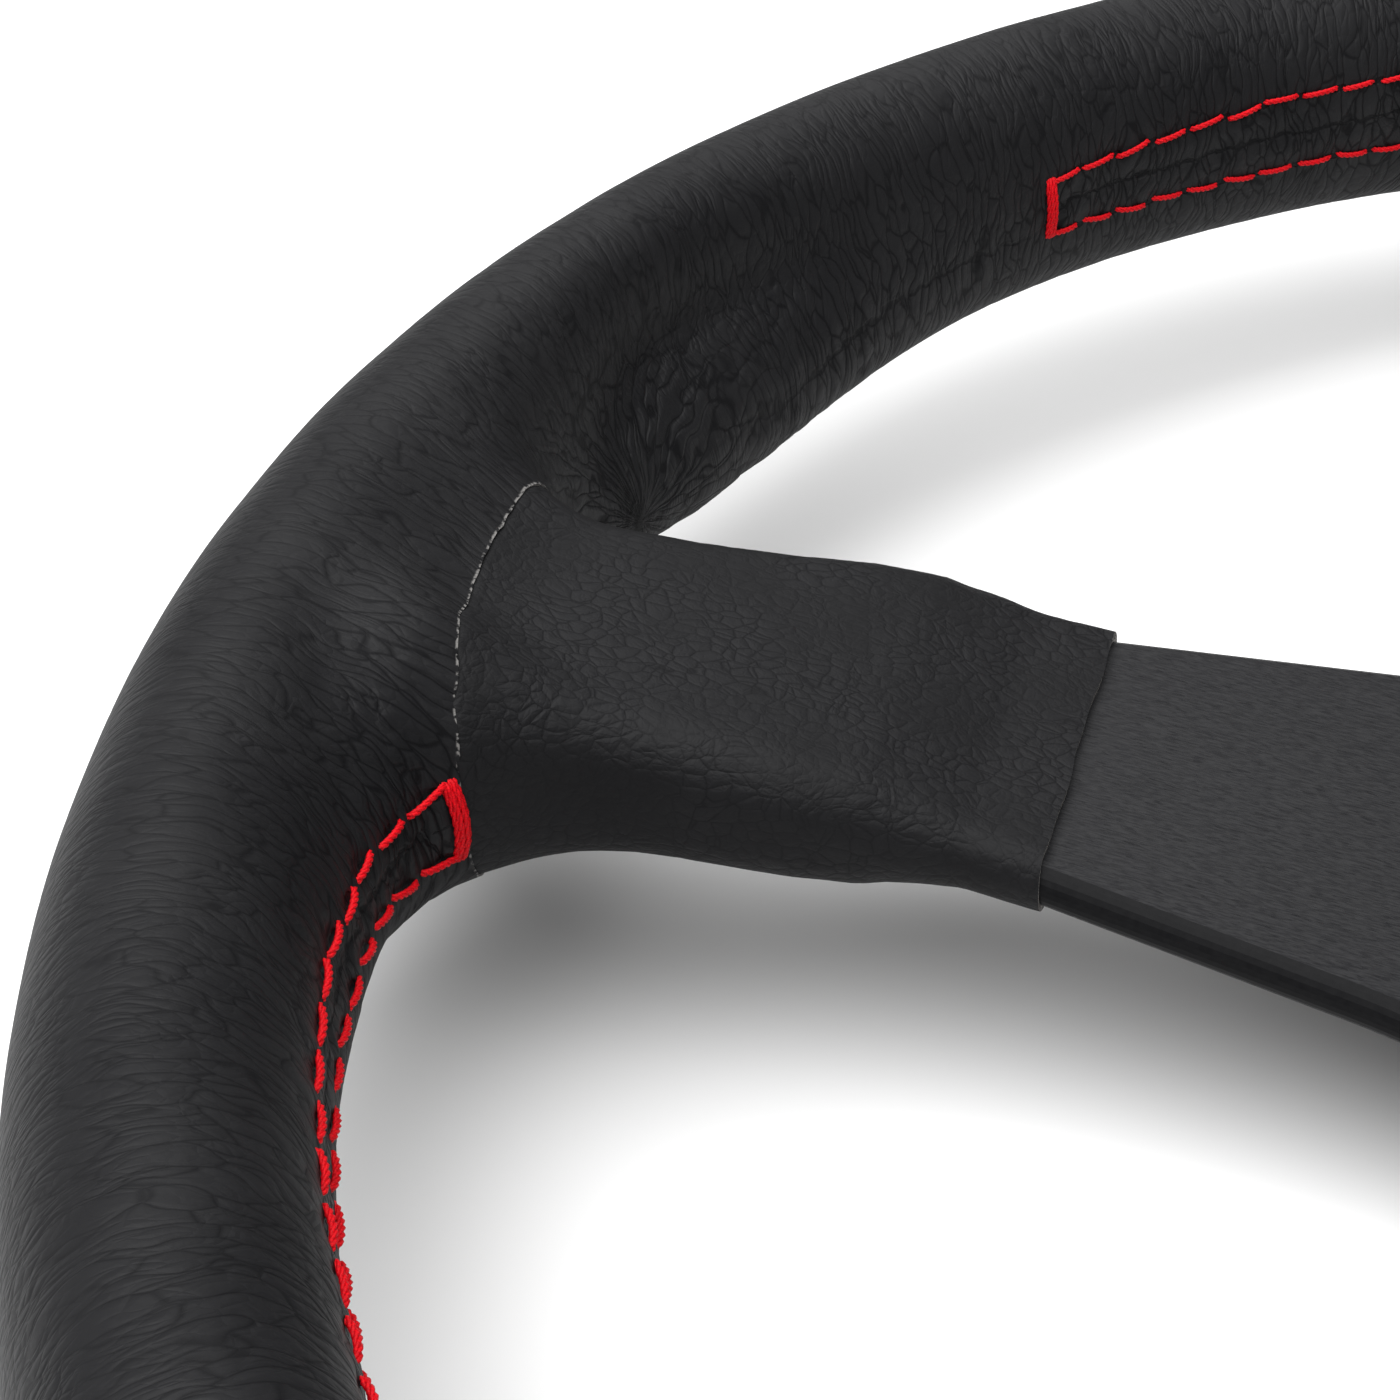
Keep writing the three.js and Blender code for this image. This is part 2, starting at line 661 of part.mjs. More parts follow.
function buildBalls() {
  const ball = new THREE.SphereGeometry(BALL_RADIUS, 10, 6);
  for (let i = 0; i < BALL_COUNT; i += 1) {
    const angle = (i / BALL_COUNT) * Math.PI * 2;
    const mesh = addPart(`locking_ball_${i + 1}`, ball.clone(), hardenedSteel);
    mesh.position.set(BALL_CENTRE * Math.cos(angle), BALL_CENTRE * Math.sin(angle), BALL_Z);
  }
}

buildFrame();
buildFoam();
buildRimLeather();
buildSpokeLeather();
buildStitching();
buildBoltRing();
buildHornButton();
buildCouplingBody();
buildCollar();
buildBalls();

export default group;
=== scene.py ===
"""Leather steering wheel with a quick release coupling: the looks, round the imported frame.

Shapes are worked out in millimetres and given to Blender in metres.
"""

import math

import bmesh
import bpy
import numpy as np
from mathutils import Matrix, Vector
from mathutils.geometry import tessellate_polygon


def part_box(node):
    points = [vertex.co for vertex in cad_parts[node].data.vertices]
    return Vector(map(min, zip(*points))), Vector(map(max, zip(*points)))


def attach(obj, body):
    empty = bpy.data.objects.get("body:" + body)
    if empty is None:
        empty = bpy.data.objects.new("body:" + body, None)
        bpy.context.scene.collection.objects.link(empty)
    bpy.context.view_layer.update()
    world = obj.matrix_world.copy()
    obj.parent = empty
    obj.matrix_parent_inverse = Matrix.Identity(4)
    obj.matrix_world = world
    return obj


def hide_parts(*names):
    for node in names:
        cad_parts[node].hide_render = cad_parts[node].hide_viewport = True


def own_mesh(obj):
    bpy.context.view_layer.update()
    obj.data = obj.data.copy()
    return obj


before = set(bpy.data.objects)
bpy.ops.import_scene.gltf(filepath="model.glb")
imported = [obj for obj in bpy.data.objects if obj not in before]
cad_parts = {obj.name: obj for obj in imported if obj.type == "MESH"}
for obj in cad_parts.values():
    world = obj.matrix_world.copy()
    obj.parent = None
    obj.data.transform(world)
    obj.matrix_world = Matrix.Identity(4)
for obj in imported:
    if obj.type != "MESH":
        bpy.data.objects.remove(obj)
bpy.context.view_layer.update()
MM = 0.001


def box_mm(node):
    """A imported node's lowest and highest corners, in millimetres."""
    low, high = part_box(node)
    return np.array(low) / MM, np.array(high) / MM


# ---------- sizes

RIM_LOW, RIM_HIGH = box_mm("rim_leather")
RIM_HALF_WIDTH = 11.4
RIM_HALF_DEPTH = (RIM_HIGH[2] - RIM_LOW[2]) / 2
RIM_CENTRE = RIM_HIGH[0] - RIM_HALF_WIDTH
RIM_Z = (RIM_HIGH[2] + RIM_LOW[2]) / 2

PLATE_LOW, _ = box_mm("spoke_plate")
PLATE_THICKNESS = 4.0
HUB_PLATE_MIDDLE = PLATE_LOW[2] + PLATE_THICKNESS / 2
BEND_RADIUS = 45.0
SPOKE_SLOPE = 0.163
TAB_START = 152.0
LEATHER_END = 96.0

# Each spoke's direction, and the sign that turns its sideways offset towards twelve o'clock.
# The bottom spoke has no such side.
SPOKES = {"left": (math.pi, -1), "right": (0.0, 1), "bottom": (-math.pi / 2, 0)}

# Padded section of a level spoke: distance from the axis, reach towards twelve o'clock,
# reach towards six o'clock, and half thickness above and below the plate's middle.
PAD_STATIONS = np.array(
    [
        [92.0, 22.0, 16.0, 3.0, 3.0],
        [97.0, 22.0, 15.9, 3.1, 3.1],
        [103.0, 21.8, 15.4, 3.3, 3.4],
        [107.0, 22.1, 15.6, 4.4, 4.7],
        [112.0, 21.7, 16.4, 5.6, 6.2],
        [118.0, 20.1, 17.2, 6.2, 6.9],
        [126.0, 17.4, 17.5, 6.6, 7.6],
        [134.0, 15.3, 17.6, 7.0, 8.6],
        [142.0, 13.9, 17.8, 7.4, 9.4],
        [152.0, 13.5, 18.0, 7.8, 10.0],
    ]
)
PAD_CORNER = 5.0
PAD_END = 154.0
SPOKE_SKIN_START = 80.0
SPOKE_SKIN_HALF_WIDTH = 60.0

# Fillets between spoke and rim. The lower one takes over from the upper one across the spoke,
# and hands back to it along the spoke before the rim's crest.
UPPER_FILLET = 11.0
LOWER_FILLET = 22.0
LOWER_FROM, LOWER_FADE = 6.0, 10.0
CREST_FROM, CREST_FADE = 147.0, 11.0

# Thumb hollow beside each level spoke, on its twelve o'clock side. Each row is how far it
# presses in, its angle from the spoke, its spread towards the spoke and away from it, all three
# in degrees, then its angle round the section and its spread there. The rows that press out are
# swells: below the hollow, on its outside, and on the inside of the rim below the spoke.
HOLLOWS = [
    [5.0, 18.0, 6.0, 10.0, 2.65, 0.62],
    [2.6, 14.0, 3.2, 5.0, 3.35, 0.45],
    [-5.3, 18.5, 8.0, 15.0, 4.0, 0.6],
    [-0.5, 14.0, 24.0, 20.0, 0.9, 0.9],
    [-3.0, -11.0, 9.0, 7.0, 3.6, 0.75],
]

# Seam between the rim's leather and a spoke's: offset towards twelve o'clock, and radius there.
SEAM = np.array(
    [(-34, 136), (-29, 141), (-26, 144.4), (-24, 145.3), (-22, 145.6), (-19, 146), (-16, 146.5)]
    + [(-12.5, 147.2), (-7.5, 148.2), (-1.7, 148.9), (8, 149.4), (14, 149.8), (20, 151)]
    + [(23, 151.4), (25.5, 150.4), (29, 146), (34, 138)]
)
# Leather's thickness at a sleeve's mouth and where its edge is tucked away, how far along the
# spoke the mouth counts, and how far a sleeve runs under the rim's leather.
LEATHER = 1.0
TUCKED_LEATHER = 0.8
MOUTH = 2.0
SEAM_OVERLAP = 1.5
# Middle of the rim section to its skin, on average. It turns section angles into millimetres.
SKIN_REACH = 13.6

# Stitching: two rows round the inside of the rim. Each row has its angle round the section,
# and how far that shifts at the end beside a level spoke. The runs are in degrees round the
# wheel, between the spokes.
TOP_ROWS = ((2.8, 0.15), (3.59, -0.03))
LOWER_ROWS = ((2.83, 0.28), (3.27, 0.23))
STITCH_PITCH = math.radians(1.95)
STITCH_RUNS = {
    "stitching_top": (39.7, 140.3),
    "stitching_lower_left": (189.6, 257.0),
    "stitching_lower_right": (283.0, 350.4),
}
TOP_RUN_END = STITCH_RUNS["stitching_top"][1]
LOWER_RUN_START = STITCH_RUNS["stitching_lower_left"][0]
BETWEEN_RUNS = 165.0

# Where the leather gathers into folds, for a left spoke: its angles round the wheel and round
# the section. One place is above the spoke, in the thumb hollow, and one at the tack below it.
PINCH = (math.radians(166.5), math.radians(222))
NEAR_TACK = (math.radians(188.5), math.radians(190))

# ---------- the leather's surface


def unit(vectors):
    """The same directions with a length of 1."""
    return vectors / np.linalg.norm(vectors, axis=-1, keepdims=True)


def full_turn(count):
    """Evenly spaced angles round a circle."""
    return np.arange(count) * 2 * math.pi / count


def round_axis(radius, angle, height):
    """Points at a radius and an angle round the steering axis."""
    return np.stack([radius * np.cos(angle), radius * np.sin(angle), height], -1)


def smooth_step(x):
    """Rises smoothly from 0 at 0 to 1 at 1."""
    x = np.clip(x, 0.0, 1.0)
    return x * x * (3.0 - 2.0 * x)


def bump(x, spread):
    """1 at 0, falling smoothly to 0 on both sides."""
    return np.exp(-((x / spread) ** 2))


def plate_middle(distance):
    """Height of the plate's middle at a distance from the axis."""
    run = np.clip(distance, BEND_RADIUS, TAB_START) - BEND_RADIUS
    return HUB_PLATE_MIDDLE + SPOKE_SLOPE * run


def ring_coords(p):
    """Angle round the wheel, angle round the section, and offsets from the section's centre."""
    theta = np.arctan2(p[:, 1], p[:, 0])
    radial = np.hypot(p[:, 0], p[:, 1]) - RIM_CENTRE
    axial = p[:, 2] - RIM_Z
    phi = np.arctan2(axial, radial)
    return theta, phi, radial, axial


def wrapped(angle):
    """The same angle between minus and plus half a turn."""
    return (angle + math.pi) % (2 * math.pi) - math.pi


def as_left(theta):
    """The angle round the wheel, with the right half mirrored onto the left."""
    turned = theta % (2 * math.pi)
    mirrored = (math.pi - turned) % (2 * math.pi)
    return np.where(np.cos(theta) > 0, mirrored, turned)


def hollow_depth(theta, phi):
    """How far the thumb hollows press the rim in. They mirror each other left to right."""
    above_spoke = math.pi - as_left(theta)
    total = np.zeros_like(theta)
    for depth, *angles, section, section_spread in HOLLOWS:
        angle, to_spoke_spread, to_top_spread = np.radians(angles)
        along = above_spoke - angle
        spread = np.where(along < 0, to_spoke_spread, to_top_spread)
        total += depth * bump(along, spread) * bump(wrapped(phi - section), section_spread)
    return total


def rim_field(p):
    """Distance to the rim without its spokes: an oval section with the hollows pressed in."""
    theta, phi, radial, axial = ring_coords(p)
    shallow = np.sqrt((radial / RIM_HALF_WIDTH) ** 2 + (axial / RIM_HALF_DEPTH) ** 2)
    steep = np.sqrt((radial / RIM_HALF_WIDTH**2) ** 2 + (axial / RIM_HALF_DEPTH**2) ** 2)
    distance = shallow * (shallow - 1.0) / np.maximum(steep, 1e-6)
    return distance + hollow_depth(theta, phi)


def to_spoke(p, angle, side):
    """Distance along a spoke, offset towards twelve o'clock, and height over the plate.

    On the bottom spoke the offset is never positive, so that both its sides are lower sides.
    """
    along = p[:, 0] * math.cos(angle) + p[:, 1] * math.sin(angle)
    across = -p[:, 0] * math.sin(angle) + p[:, 1] * math.cos(angle)
    across = side * across if side else -np.abs(across)
    return along, across, p[:, 2] - plate_middle(along)


def pad_field(along, across, height):
    """Distance to a spoke's padded sleeve: a rounded box that changes along the spoke."""
    stations, sizes = PAD_STATIONS[:, 0], PAD_STATIONS[:, 1:].T
    top, foot, above, below = [np.interp(along, stations, size) for size in sizes]
    half_width = (top + foot) / 2
    half_height = (above + below) / 2
    corner = np.minimum(PAD_CORNER, half_height * 0.95)
    across_out = np.abs(across - (top - foot) / 2) - half_width + corner
    height_out = np.abs(height - (above - below) / 2) - half_height + corner
    outside = np.hypot(np.maximum(across_out, 0), np.maximum(height_out, 0))
    section = outside + np.minimum(np.maximum(across_out, height_out), 0) - corner
    return np.maximum(section, np.maximum(along - PAD_END, stations[0] - along))


def smooth_union(a, b, blend):
    """The lesser of two distances, with a fillet where they meet."""
    overlap = np.maximum(blend - np.abs(a - b), 0.0) / blend
    return np.minimum(a, b) - overlap**2 * blend / 4


def field(p):
    """Signed distance, near enough, to the leather. Negative inside."""
    distance = rim_field(p)
    for angle, side in SPOKES.values():
        along, across, height = to_spoke(p, angle, side)
        near = (along > SPOKE_SKIN_START) & (np.abs(across) < SPOKE_SKIN_HALF_WIDTH)
        pad = pad_field(along[near], across[near], height[near])
        lower = smooth_step((-across[near] - LOWER_FROM) / LOWER_FADE)
        lower *= 1 - smooth_step((along[near] - CREST_FROM) / CREST_FADE)
        fillet = UPPER_FILLET + (LOWER_FILLET - UPPER_FILLET) * lower
        distance[near] = smooth_union(distance[near], pad, fillet)
    return distance


def gradient(p, step=0.05):
    """The field's slope at each point."""
    result = np.empty_like(p)
    for axis in range(3):
        shift = np.zeros(3)
        shift[axis] = step
        result[:, axis] = (field(p + shift) - field(p - shift)) / (2 * step)
    return result


def onto_surface(p, rounds=4):
    """The points moved along the field's slope until they are on the leather."""
    for _ in range(rounds):
        slope = gradient(p)
        p = p - (field(p) / np.maximum((slope**2).sum(1), 0.2))[:, None] * slope
    return p


SEARCH_FROM, SEARCH_TO, SEARCH_ROUNDS = 4.0, 34.0, 24


def surface_at(theta, phi):
    """The outermost point of the leather from the rim section's middle, at two angles."""
    theta, phi = np.broadcast_arrays(np.asarray(theta, float), np.asarray(phi, float))
    inner = np.full(theta.shape, SEARCH_FROM)
    outer = np.full(theta.shape, SEARCH_TO)
    for _ in range(SEARCH_ROUNDS):
        middle = (inner + outer) / 2
        inside = field(from_ring(theta, phi, middle).reshape(-1, 3)).reshape(theta.shape) < 0
        inner = np.where(inside, middle, inner)
        outer = np.where(inside, outer, middle)
    return from_ring(theta, phi, inner)


def from_ring(theta, phi, reach):
    """The point at two angles and a reach from the rim section's middle."""
    radius = RIM_CENTRE + reach * np.cos(phi)
    return round_axis(radius, theta, RIM_Z + reach * np.sin(phi))


# ---------- meshing

RING_STEP = 0.9
CROSS_STEP = 1.0
LATTICE_START = 88.0
LATTICE_MARGIN = 4.0
SPOKE_SECTOR = math.radians(19)
SLEEVE_SECTOR = math.radians(18)


def lattice_axes():
    """Angles, radii and heights of the lattice."""
    count = 4 * round(2 * math.pi * RIM_CENTRE / RING_STEP / 4)
    angles = full_turn(count)
    radii = np.arange(LATTICE_START, RIM_CENTRE + RIM_HALF_WIDTH + LATTICE_MARGIN, CROSS_STEP)
    reach = RIM_HALF_DEPTH + LATTICE_MARGIN
    heights = RIM_Z + np.arange(-reach, reach + 1, CROSS_STEP)
    return angles, radii, heights


def lattice_values(angles, radii, heights):
    """The field on the lattice, left at 1 where there is no leather near."""
    angle, radius, height = np.meshgrid(angles, radii, heights, indexing="ij")
    values = np.ones(angle.shape, np.float32)
    near = np.abs(radius - RIM_CENTRE) < RIM_HALF_WIDTH + 6
    for spoke, _ in SPOKES.values():
        near |= np.abs(wrapped(angle - spoke)) < SPOKE_SECTOR
    values[near] = field(round_axis(radius[near], angle[near], height[near]))
    return values


def surface_net(values):
    """Dual mesh of the zero surface. The first axis closes on itself.

    Gives each vertex in lattice steps, and the quads between them.
    """
    inside = values < 0
    shape = np.subtract(values.shape, (0, 1, 1))

    def seen_from_cell(array, step):
        rolled = np.roll(array, -step[0], 0)
        return rolled[:, step[1] : step[1] + shape[1], step[2] : step[2] + shape[2]]

    total = np.zeros((*shape, 3), np.float32)
    count = np.zeros(shape, np.float32)
    crossings = []
    for axis, first, second in ((0, 1, 2), (1, 0, 2), (2, 0, 1)):
        after = np.roll(values, -1, axis)
        crossing = inside != (after < 0)
        if axis > 0:
            np.moveaxis(crossing, axis, 0)[-1] = False
        crossings.append((crossing, first, second))
        share = np.where(crossing, values / np.where(crossing, values - after, 1), 0)
        for near, far in np.ndindex(2, 2):
            step = [0, 0, 0]
            step[first], step[second] = near, far
            hit = seen_from_cell(crossing, step)
            total[..., axis] += seen_from_cell(share, step)
            total[..., first] += hit * near
            total[..., second] += hit * far
            count += hit
    active = count > 0
    ids = np.full(active.shape, -1)
    ids[active] = np.arange(active.sum())
    vertices = np.argwhere(active) + total[active] / count[active][:, None]

    quads = []
    for crossing, first, second in crossings:
        where = np.argwhere(crossing)
        corners = []
        for near, far in ((1, 1), (0, 1), (0, 0), (1, 0)):
            cell = where.copy()
            cell[:, first] -= near
            cell[:, second] -= far
            corners.append(ids[cell[:, 0] % shape[0], cell[:, 1], cell[:, 2]])
        quads.append(np.stack(corners, 1))
    return vertices, np.concatenate(quads)


def leather_surface():
    """Points on the leather, in millimetres, and triangles that face out."""
    angles, radii, heights = lattice_axes()
    vertices, quads = surface_net(lattice_values(angles, radii, heights))
    angle = vertices[:, 0] * (angles[1] - angles[0])
    radius = np.interp(vertices[:, 1], np.arange(len(radii)), radii)
    height = np.interp(vertices[:, 2], np.arange(len(heights)), heights)
    p = onto_surface(round_axis(radius, angle, height))
    diagonal = p[quads[:, 2]] - p[quads[:, 0]]
    other = p[quads[:, 3]] - p[quads[:, 1]]
    backward = (np.cross(diagonal, other) * gradient(p[quads].mean(1))).sum(1) < 0
    quads[backward] = quads[backward][:, ::-1]
    return p, np.concatenate([quads[:, [0, 1, 2]], quads[:, [0, 2, 3]]])


def clip_part(points, triangles, value):
    """The part of a mesh where a value at its points is above zero, cut where it is zero."""
    inside = value > 0
    count = inside[triangles].sum(1)
    kept = [triangles[count == 3]]
    crossing = triangles[(count == 1) | (count == 2)]
    lone = inside[crossing] == (inside[crossing].sum(1) == 1)[:, None]
    first = lone.argmax(1)
    turned = crossing[np.arange(len(crossing))[:, None], (first[:, None] + np.arange(3)) % 3]
    edges = np.sort(np.concatenate([turned[:, [0, 1]], turned[:, [0, 2]]]), 1)
    unique, index = np.unique(edges, axis=0, return_inverse=True)
    index = index.reshape(-1) + len(points)
    near, far = value[unique[:, 0]], value[unique[:, 1]]
    share = (near / (near - far))[:, None]
    cut = points[unique[:, 0]] * (1 - share) + points[unique[:, 1]] * share
    to_second, to_third = index[: len(turned)], index[len(turned) :]
    one = inside[turned[:, 0]]
    kept.append(np.stack([turned[one, 0], to_second[one], to_third[one]], 1))
    two = ~one
    kept.append(np.stack([to_second[two], turned[two, 1], turned[two, 2]], 1))
    kept.append(np.stack([to_second[two], turned[two, 2], to_third[two]], 1))
    faces = np.concatenate(kept)
    used, renumbered = np.unique(faces, return_inverse=True)
    return np.concatenate([points, cut])[used], renumbered.reshape(-1, 3)


def border_edges(triangles):
    """Directed edges that only one triangle has."""
    edges = np.concatenate([triangles[:, [0, 1]], triangles[:, [1, 2]], triangles[:, [2, 0]]])
    _, index, count = np.unique(np.sort(edges, 1), axis=0, return_inverse=True, return_counts=True)
    return edges[count[index.reshape(-1)] == 1]


def add_piece(name, data, body="wheel"):
    """An object for a mesh, a lamp or a camera, riding on a body if there is one."""
    made = bpy.data.objects.new(name, data)
    bpy.context.scene.collection.objects.link(made)
    if body:
        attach(made, body)
    return made


def make_object(name, points, faces, body="wheel"):
    """A smooth mesh object from points in millimetres."""
    mesh = bpy.data.meshes.new(name)
    mesh.from_pydata((np.asarray(points) * MM).tolist(), [], [list(face) for face in faces])
    mesh.validate()
    mesh.polygons.foreach_set("use_smooth", [True] * len(mesh.polygons))
    return add_piece(name, mesh, body)


# ---------- relief


def value_noise(p, seed):
    """Smooth noise from 0 to 1, with one cell for each unit of the points."""
    cell = np.floor(p).astype(np.int64)
    share = smooth_step(p - cell)
    total = np.zeros(len(p))
    for corner in np.ndindex(2, 2, 2):
        place = cell + corner
        mixed = (place * np.array([73856093, 19349663, 83492791])).sum(1) + seed * 50331653
        mixed = ((mixed ^ (mixed >> 13)) * 1274126177) & 0x7FFFFFFF
        mixed = ((mixed ^ (mixed >> 15)) * 668265263) & 0x7FFFFFFF
        weight = np.prod(np.where(corner, share, 1 - share), 1)
        total += weight * mixed / 0x7FFFFFFF
    return total


def valleys(noise, width):
    """1 along the lines where a noise crosses its middle, falling to 0 on both sides."""
    return bump(noise - 0.5, width)


def skin_coords(theta, phi):
    """Place on the rim's skin in millimetres: a point on the ring, and the way round the section.

    The way round the section starts outside and below, where the leather is least seen.
    """
    round_section = (phi + math.pi / 4) % (2 * math.pi) * (RIM_HALF_WIDTH + RIM_HALF_DEPTH) / 2
    return round_axis(RIM_CENTRE, theta, round_section)


def off_line(phi, line):
    """Distance along the skin from a line that runs round the rim, in millimetres."""
    return wrapped(phi - line) * SKIN_REACH


def gather_coords(theta, phi, place):
    """Direction and distance from a gathering point, in millimetres along the skin."""
    ahead = (as_left(theta) - place[0]) * (RIM_CENTRE - RIM_HALF_WIDTH)
    round_section = off_line(phi, place[1])
    return np.arctan2(round_section, ahead), np.hypot(ahead, round_section)


def in_runs(theta, fade):
    """1 inside the stitched stretches of the rim, falling to 0 beyond their ends."""
    degrees = np.degrees(theta) % 360
    total = np.zeros_like(degrees)
    for start, end in STITCH_RUNS.values():
        run = smooth_step((degrees - start) / fade) * smooth_step((end - degrees) / fade)
        total = np.maximum(total, run)
    return total


def row_phi(theta, row):
    """Section angle of a stitch row. It shifts towards the tack beside a level spoke."""
    degrees = np.degrees(as_left(theta))
    top, top_shift = TOP_ROWS[row]
    lower, lower_shift = LOWER_ROWS[row]
    top = top + top_shift * bump(np.minimum(degrees - TOP_RUN_END, 0), 9.0)
    lower = lower + lower_shift * bump(np.maximum(degrees - LOWER_RUN_START, 0), 7.0)
    return np.where(degrees < BETWEEN_RUNS, top, lower)


def butt_phi(theta):
    """Section angle of the butt seam. Beyond the stitching it lies lower, under the hollow."""
    past = smooth_step((np.degrees(as_left(theta)) - 146) / 12)
    middle = (row_phi(theta, 0) + row_phi(theta, 1)) / 2
    return middle + (1 - in_runs(theta, 1.5)) * (0.22 + 0.2 * past)


def butt_share(theta):
    """Where the butt seam shows: between the stitch rows, and on into the thumb hollow."""
    return np.minimum(in_runs(theta, 1.0) + 0.8 * bump(np.degrees(as_left(theta)) - 150, 11.0), 1)


def crease_strength(theta, phi):
    """How strongly the leather creases, and how much of that gathers towards the pinch."""
    _, away = gather_coords(theta, phi, PINCH)
    gathered = bump(np.maximum(away - 4, 0), 22.0)
    inner = smooth_step((0.6 - np.cos(phi)) / 1.4)
    butt = butt_share(theta) * bump(off_line(phi, butt_phi(theta)), 7.0)
    _, from_tack = gather_coords(theta, phi, NEAR_TACK)
    strength = 0.4 + 0.4 * inner + 0.7 * gathered + 0.6 * butt + 0.35 * bump(from_tack, 12.0)
    return strength, gathered


# Folds that fan out from a gathering point: how deep they are, the distance where they are
# deepest and their spread there, how many fan out, their length, where in the noise they are
# taken from, how much they wander, their width, and the noise's seed.
FOLDS = [
    (PINCH, 0.3, 10, 9.0, 4.2, 16.0, 5, 0.5, 0.1, 11),
    (PINCH, 0.16, 20, 14.0, 7.0, 9.0, 9, 1.0, 0.12, 12),
    (NEAR_TACK, 0.32, 8, 10.0, 3.6, 12.0, 3, 0.6, 0.1, 13),
]
# Depth and spread of what runs along a line: a stitch row, the butt seam, its puckers, the lip.
STITCH_CHANNEL = (0.3, 1.5)
BUTT_CHANNEL = (0.3, 1.2)
BUTT_PUCKER = (0.42, 5.5)
SEAM_LIP = (0.1, 1.6)


def groove(off, size):
    """Depth at a distance from a line."""
    depth, spread = size
    return depth * bump(off, spread)


def rim_relief(p, seam):
    """Height of the rim leather's wrinkles, folds and stitch channels, in millimetres."""
    theta, phi, _, _ = ring_coords(p)
    skin = skin_coords(theta, phi)
    inner = smooth_step((0.35 - np.cos(phi)) / 1.2)
    drift = (value_noise(p / 11.0, 3) - 0.5)[:, None]
    grain = skin * np.array([0.3, 0.3, 0.045]) + drift * np.array([1.2, 1.2, 1.0])
    height = -0.05 * (0.25 + inner) * valleys(value_noise(grain, 5), 0.07)
    height += 0.22 * (value_noise(p / 13.0, 7) - 0.5)

    for place, depth, peak, spread, fan, length, start, wander, width, seed in FOLDS:
        turn, away = gather_coords(theta, phi, place)
        rays = np.stack([np.cos(turn) * fan, np.sin(turn) * fan, away / length + start], 1)
        folds = valleys(value_noise(rays + drift * wander, seed), width)
        height -= depth * bump(away - peak, spread) * folds

    shown = in_runs(theta, 1.5) * (0.65 + 0.35 * np.cos(theta / STITCH_PITCH * 2 * math.pi))
    for row in (0, 1):
        height -= shown * groove(off_line(phi, row_phi(theta, row)), STITCH_CHANNEL)
    off_butt = off_line(phi, butt_phi(theta))
    pucker = valleys(value_noise(skin * np.array([0.42, 0.42, 0.12]), 17), 0.12)
    butt = groove(off_butt, BUTT_CHANNEL) + groove(off_butt, BUTT_PUCKER) * pucker
    return height - butt_share(theta) * butt + groove(seam, SEAM_LIP)


def spoke_relief(p, seam):
    """Height of a spoke leather's unevenness, in millimetres. It dips under the rim's edge."""
    height = 0.22 * (value_noise(p / 9.0, 23) - 0.5)
    height -= 0.04 * valleys(value_noise(p / 3.4, 29), 0.08)
    return height - 0.12 * smooth_step((2.0 - seam) / 3.0) - 0.9 * smooth_step((0.1 - seam) / 1.2)


# ---------- leather pieces


def seam_value(p):
    """Distance outside the nearest spoke's seam, a little uneven. It is negative on the spoke."""
    radius = np.hypot(p[:, 0], p[:, 1])
    value = np.full(len(p), 50.0)
    offsets, radii = SEAM.T
    for angle, side in SPOKES.values():
        along, across, _ = to_spoke(p, angle, side)
        here = (along > SPOKE_SKIN_START) & (across > offsets[0]) & (across < offsets[-1])
        value[here] = (radius - np.interp(across, offsets, radii))[here]
        value[here] += 0.3 * (value_noise(p[here] / 1.3, 31) - 0.5)
    return value


def leather_piece(name, points, triangles, relief, thickness):
    """A displaced piece of leather with a wall round its cut edges, and its undisplaced points."""
    normals = unit(gradient(points))
    raised = points + relief[:, None] * normals
    rim, index = np.unique(border_edges(triangles), return_inverse=True)
    index = index.reshape(-1, 2)
    top = len(points)
    low = top + len(rim)
    sunk = raised[rim] - thickness[rim, None] * normals[rim]
    all_points = np.concatenate([raised, raised[rim], sunk])
    start, end = index.T
    walls = np.stack([end + top, start + top, start + low, end + low], 1)
    made = make_object(name, all_points, triangles.tolist() + walls.tolist())
    slots = np.zeros(len(made.data.polygons), np.int32)
    slots[len(triangles) :] = 1
    made.data.polygons.foreach_set("material_index", slots)
    return made, np.concatenate([points, points[rim], points[rim]])


def add_rim_attributes(rim, at):
    """Vectors for the rim leather's material, worked out at its undisplaced points."""
    theta, phi, _, _ = ring_coords(at)
    turn, away = gather_coords(theta, phi, PINCH)
    rows = [off_line(phi, row_phi(theta, row)) for row in (0, 1)]
    nearest = np.where(np.abs(rows[0]) < np.abs(rows[1]), rows[0], rows[1])
    attributes = {
        "skin": skin_coords(theta, phi).T,
        "gather": (np.cos(turn), np.sin(turn), away),
        "sewn": (nearest, off_line(phi, butt_phi(theta)), butt_share(theta)),
        "crease": (*crease_strength(theta, phi), np.zeros(len(at))),
        "stitch": (theta / STITCH_PITCH, in_runs(theta, 1.0), seam_value(at)),
    }
    for name, values in attributes.items():
        layer = rim.data.attributes.new(name, "FLOAT_VECTOR", "POINT")
        layer.data.foreach_set("vector", np.stack(values, 1).astype(np.float32).ravel())


def build_rim_leather(points, triangles):
    """The rim's leather: all of the skin outside the spokes' seams."""
    points, triangles = clip_part(points, triangles, seam_value(points))
    relief = rim_relief(points, seam_value(points))
    thickness = np.full(len(points), TUCKED_LEATHER)
    rim, at = leather_piece("rim_leather_cover", points, triangles, relief, thickness)
    add_rim_attributes(rim, at)
    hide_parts("rim_foam", "rim_leather")
    return rim


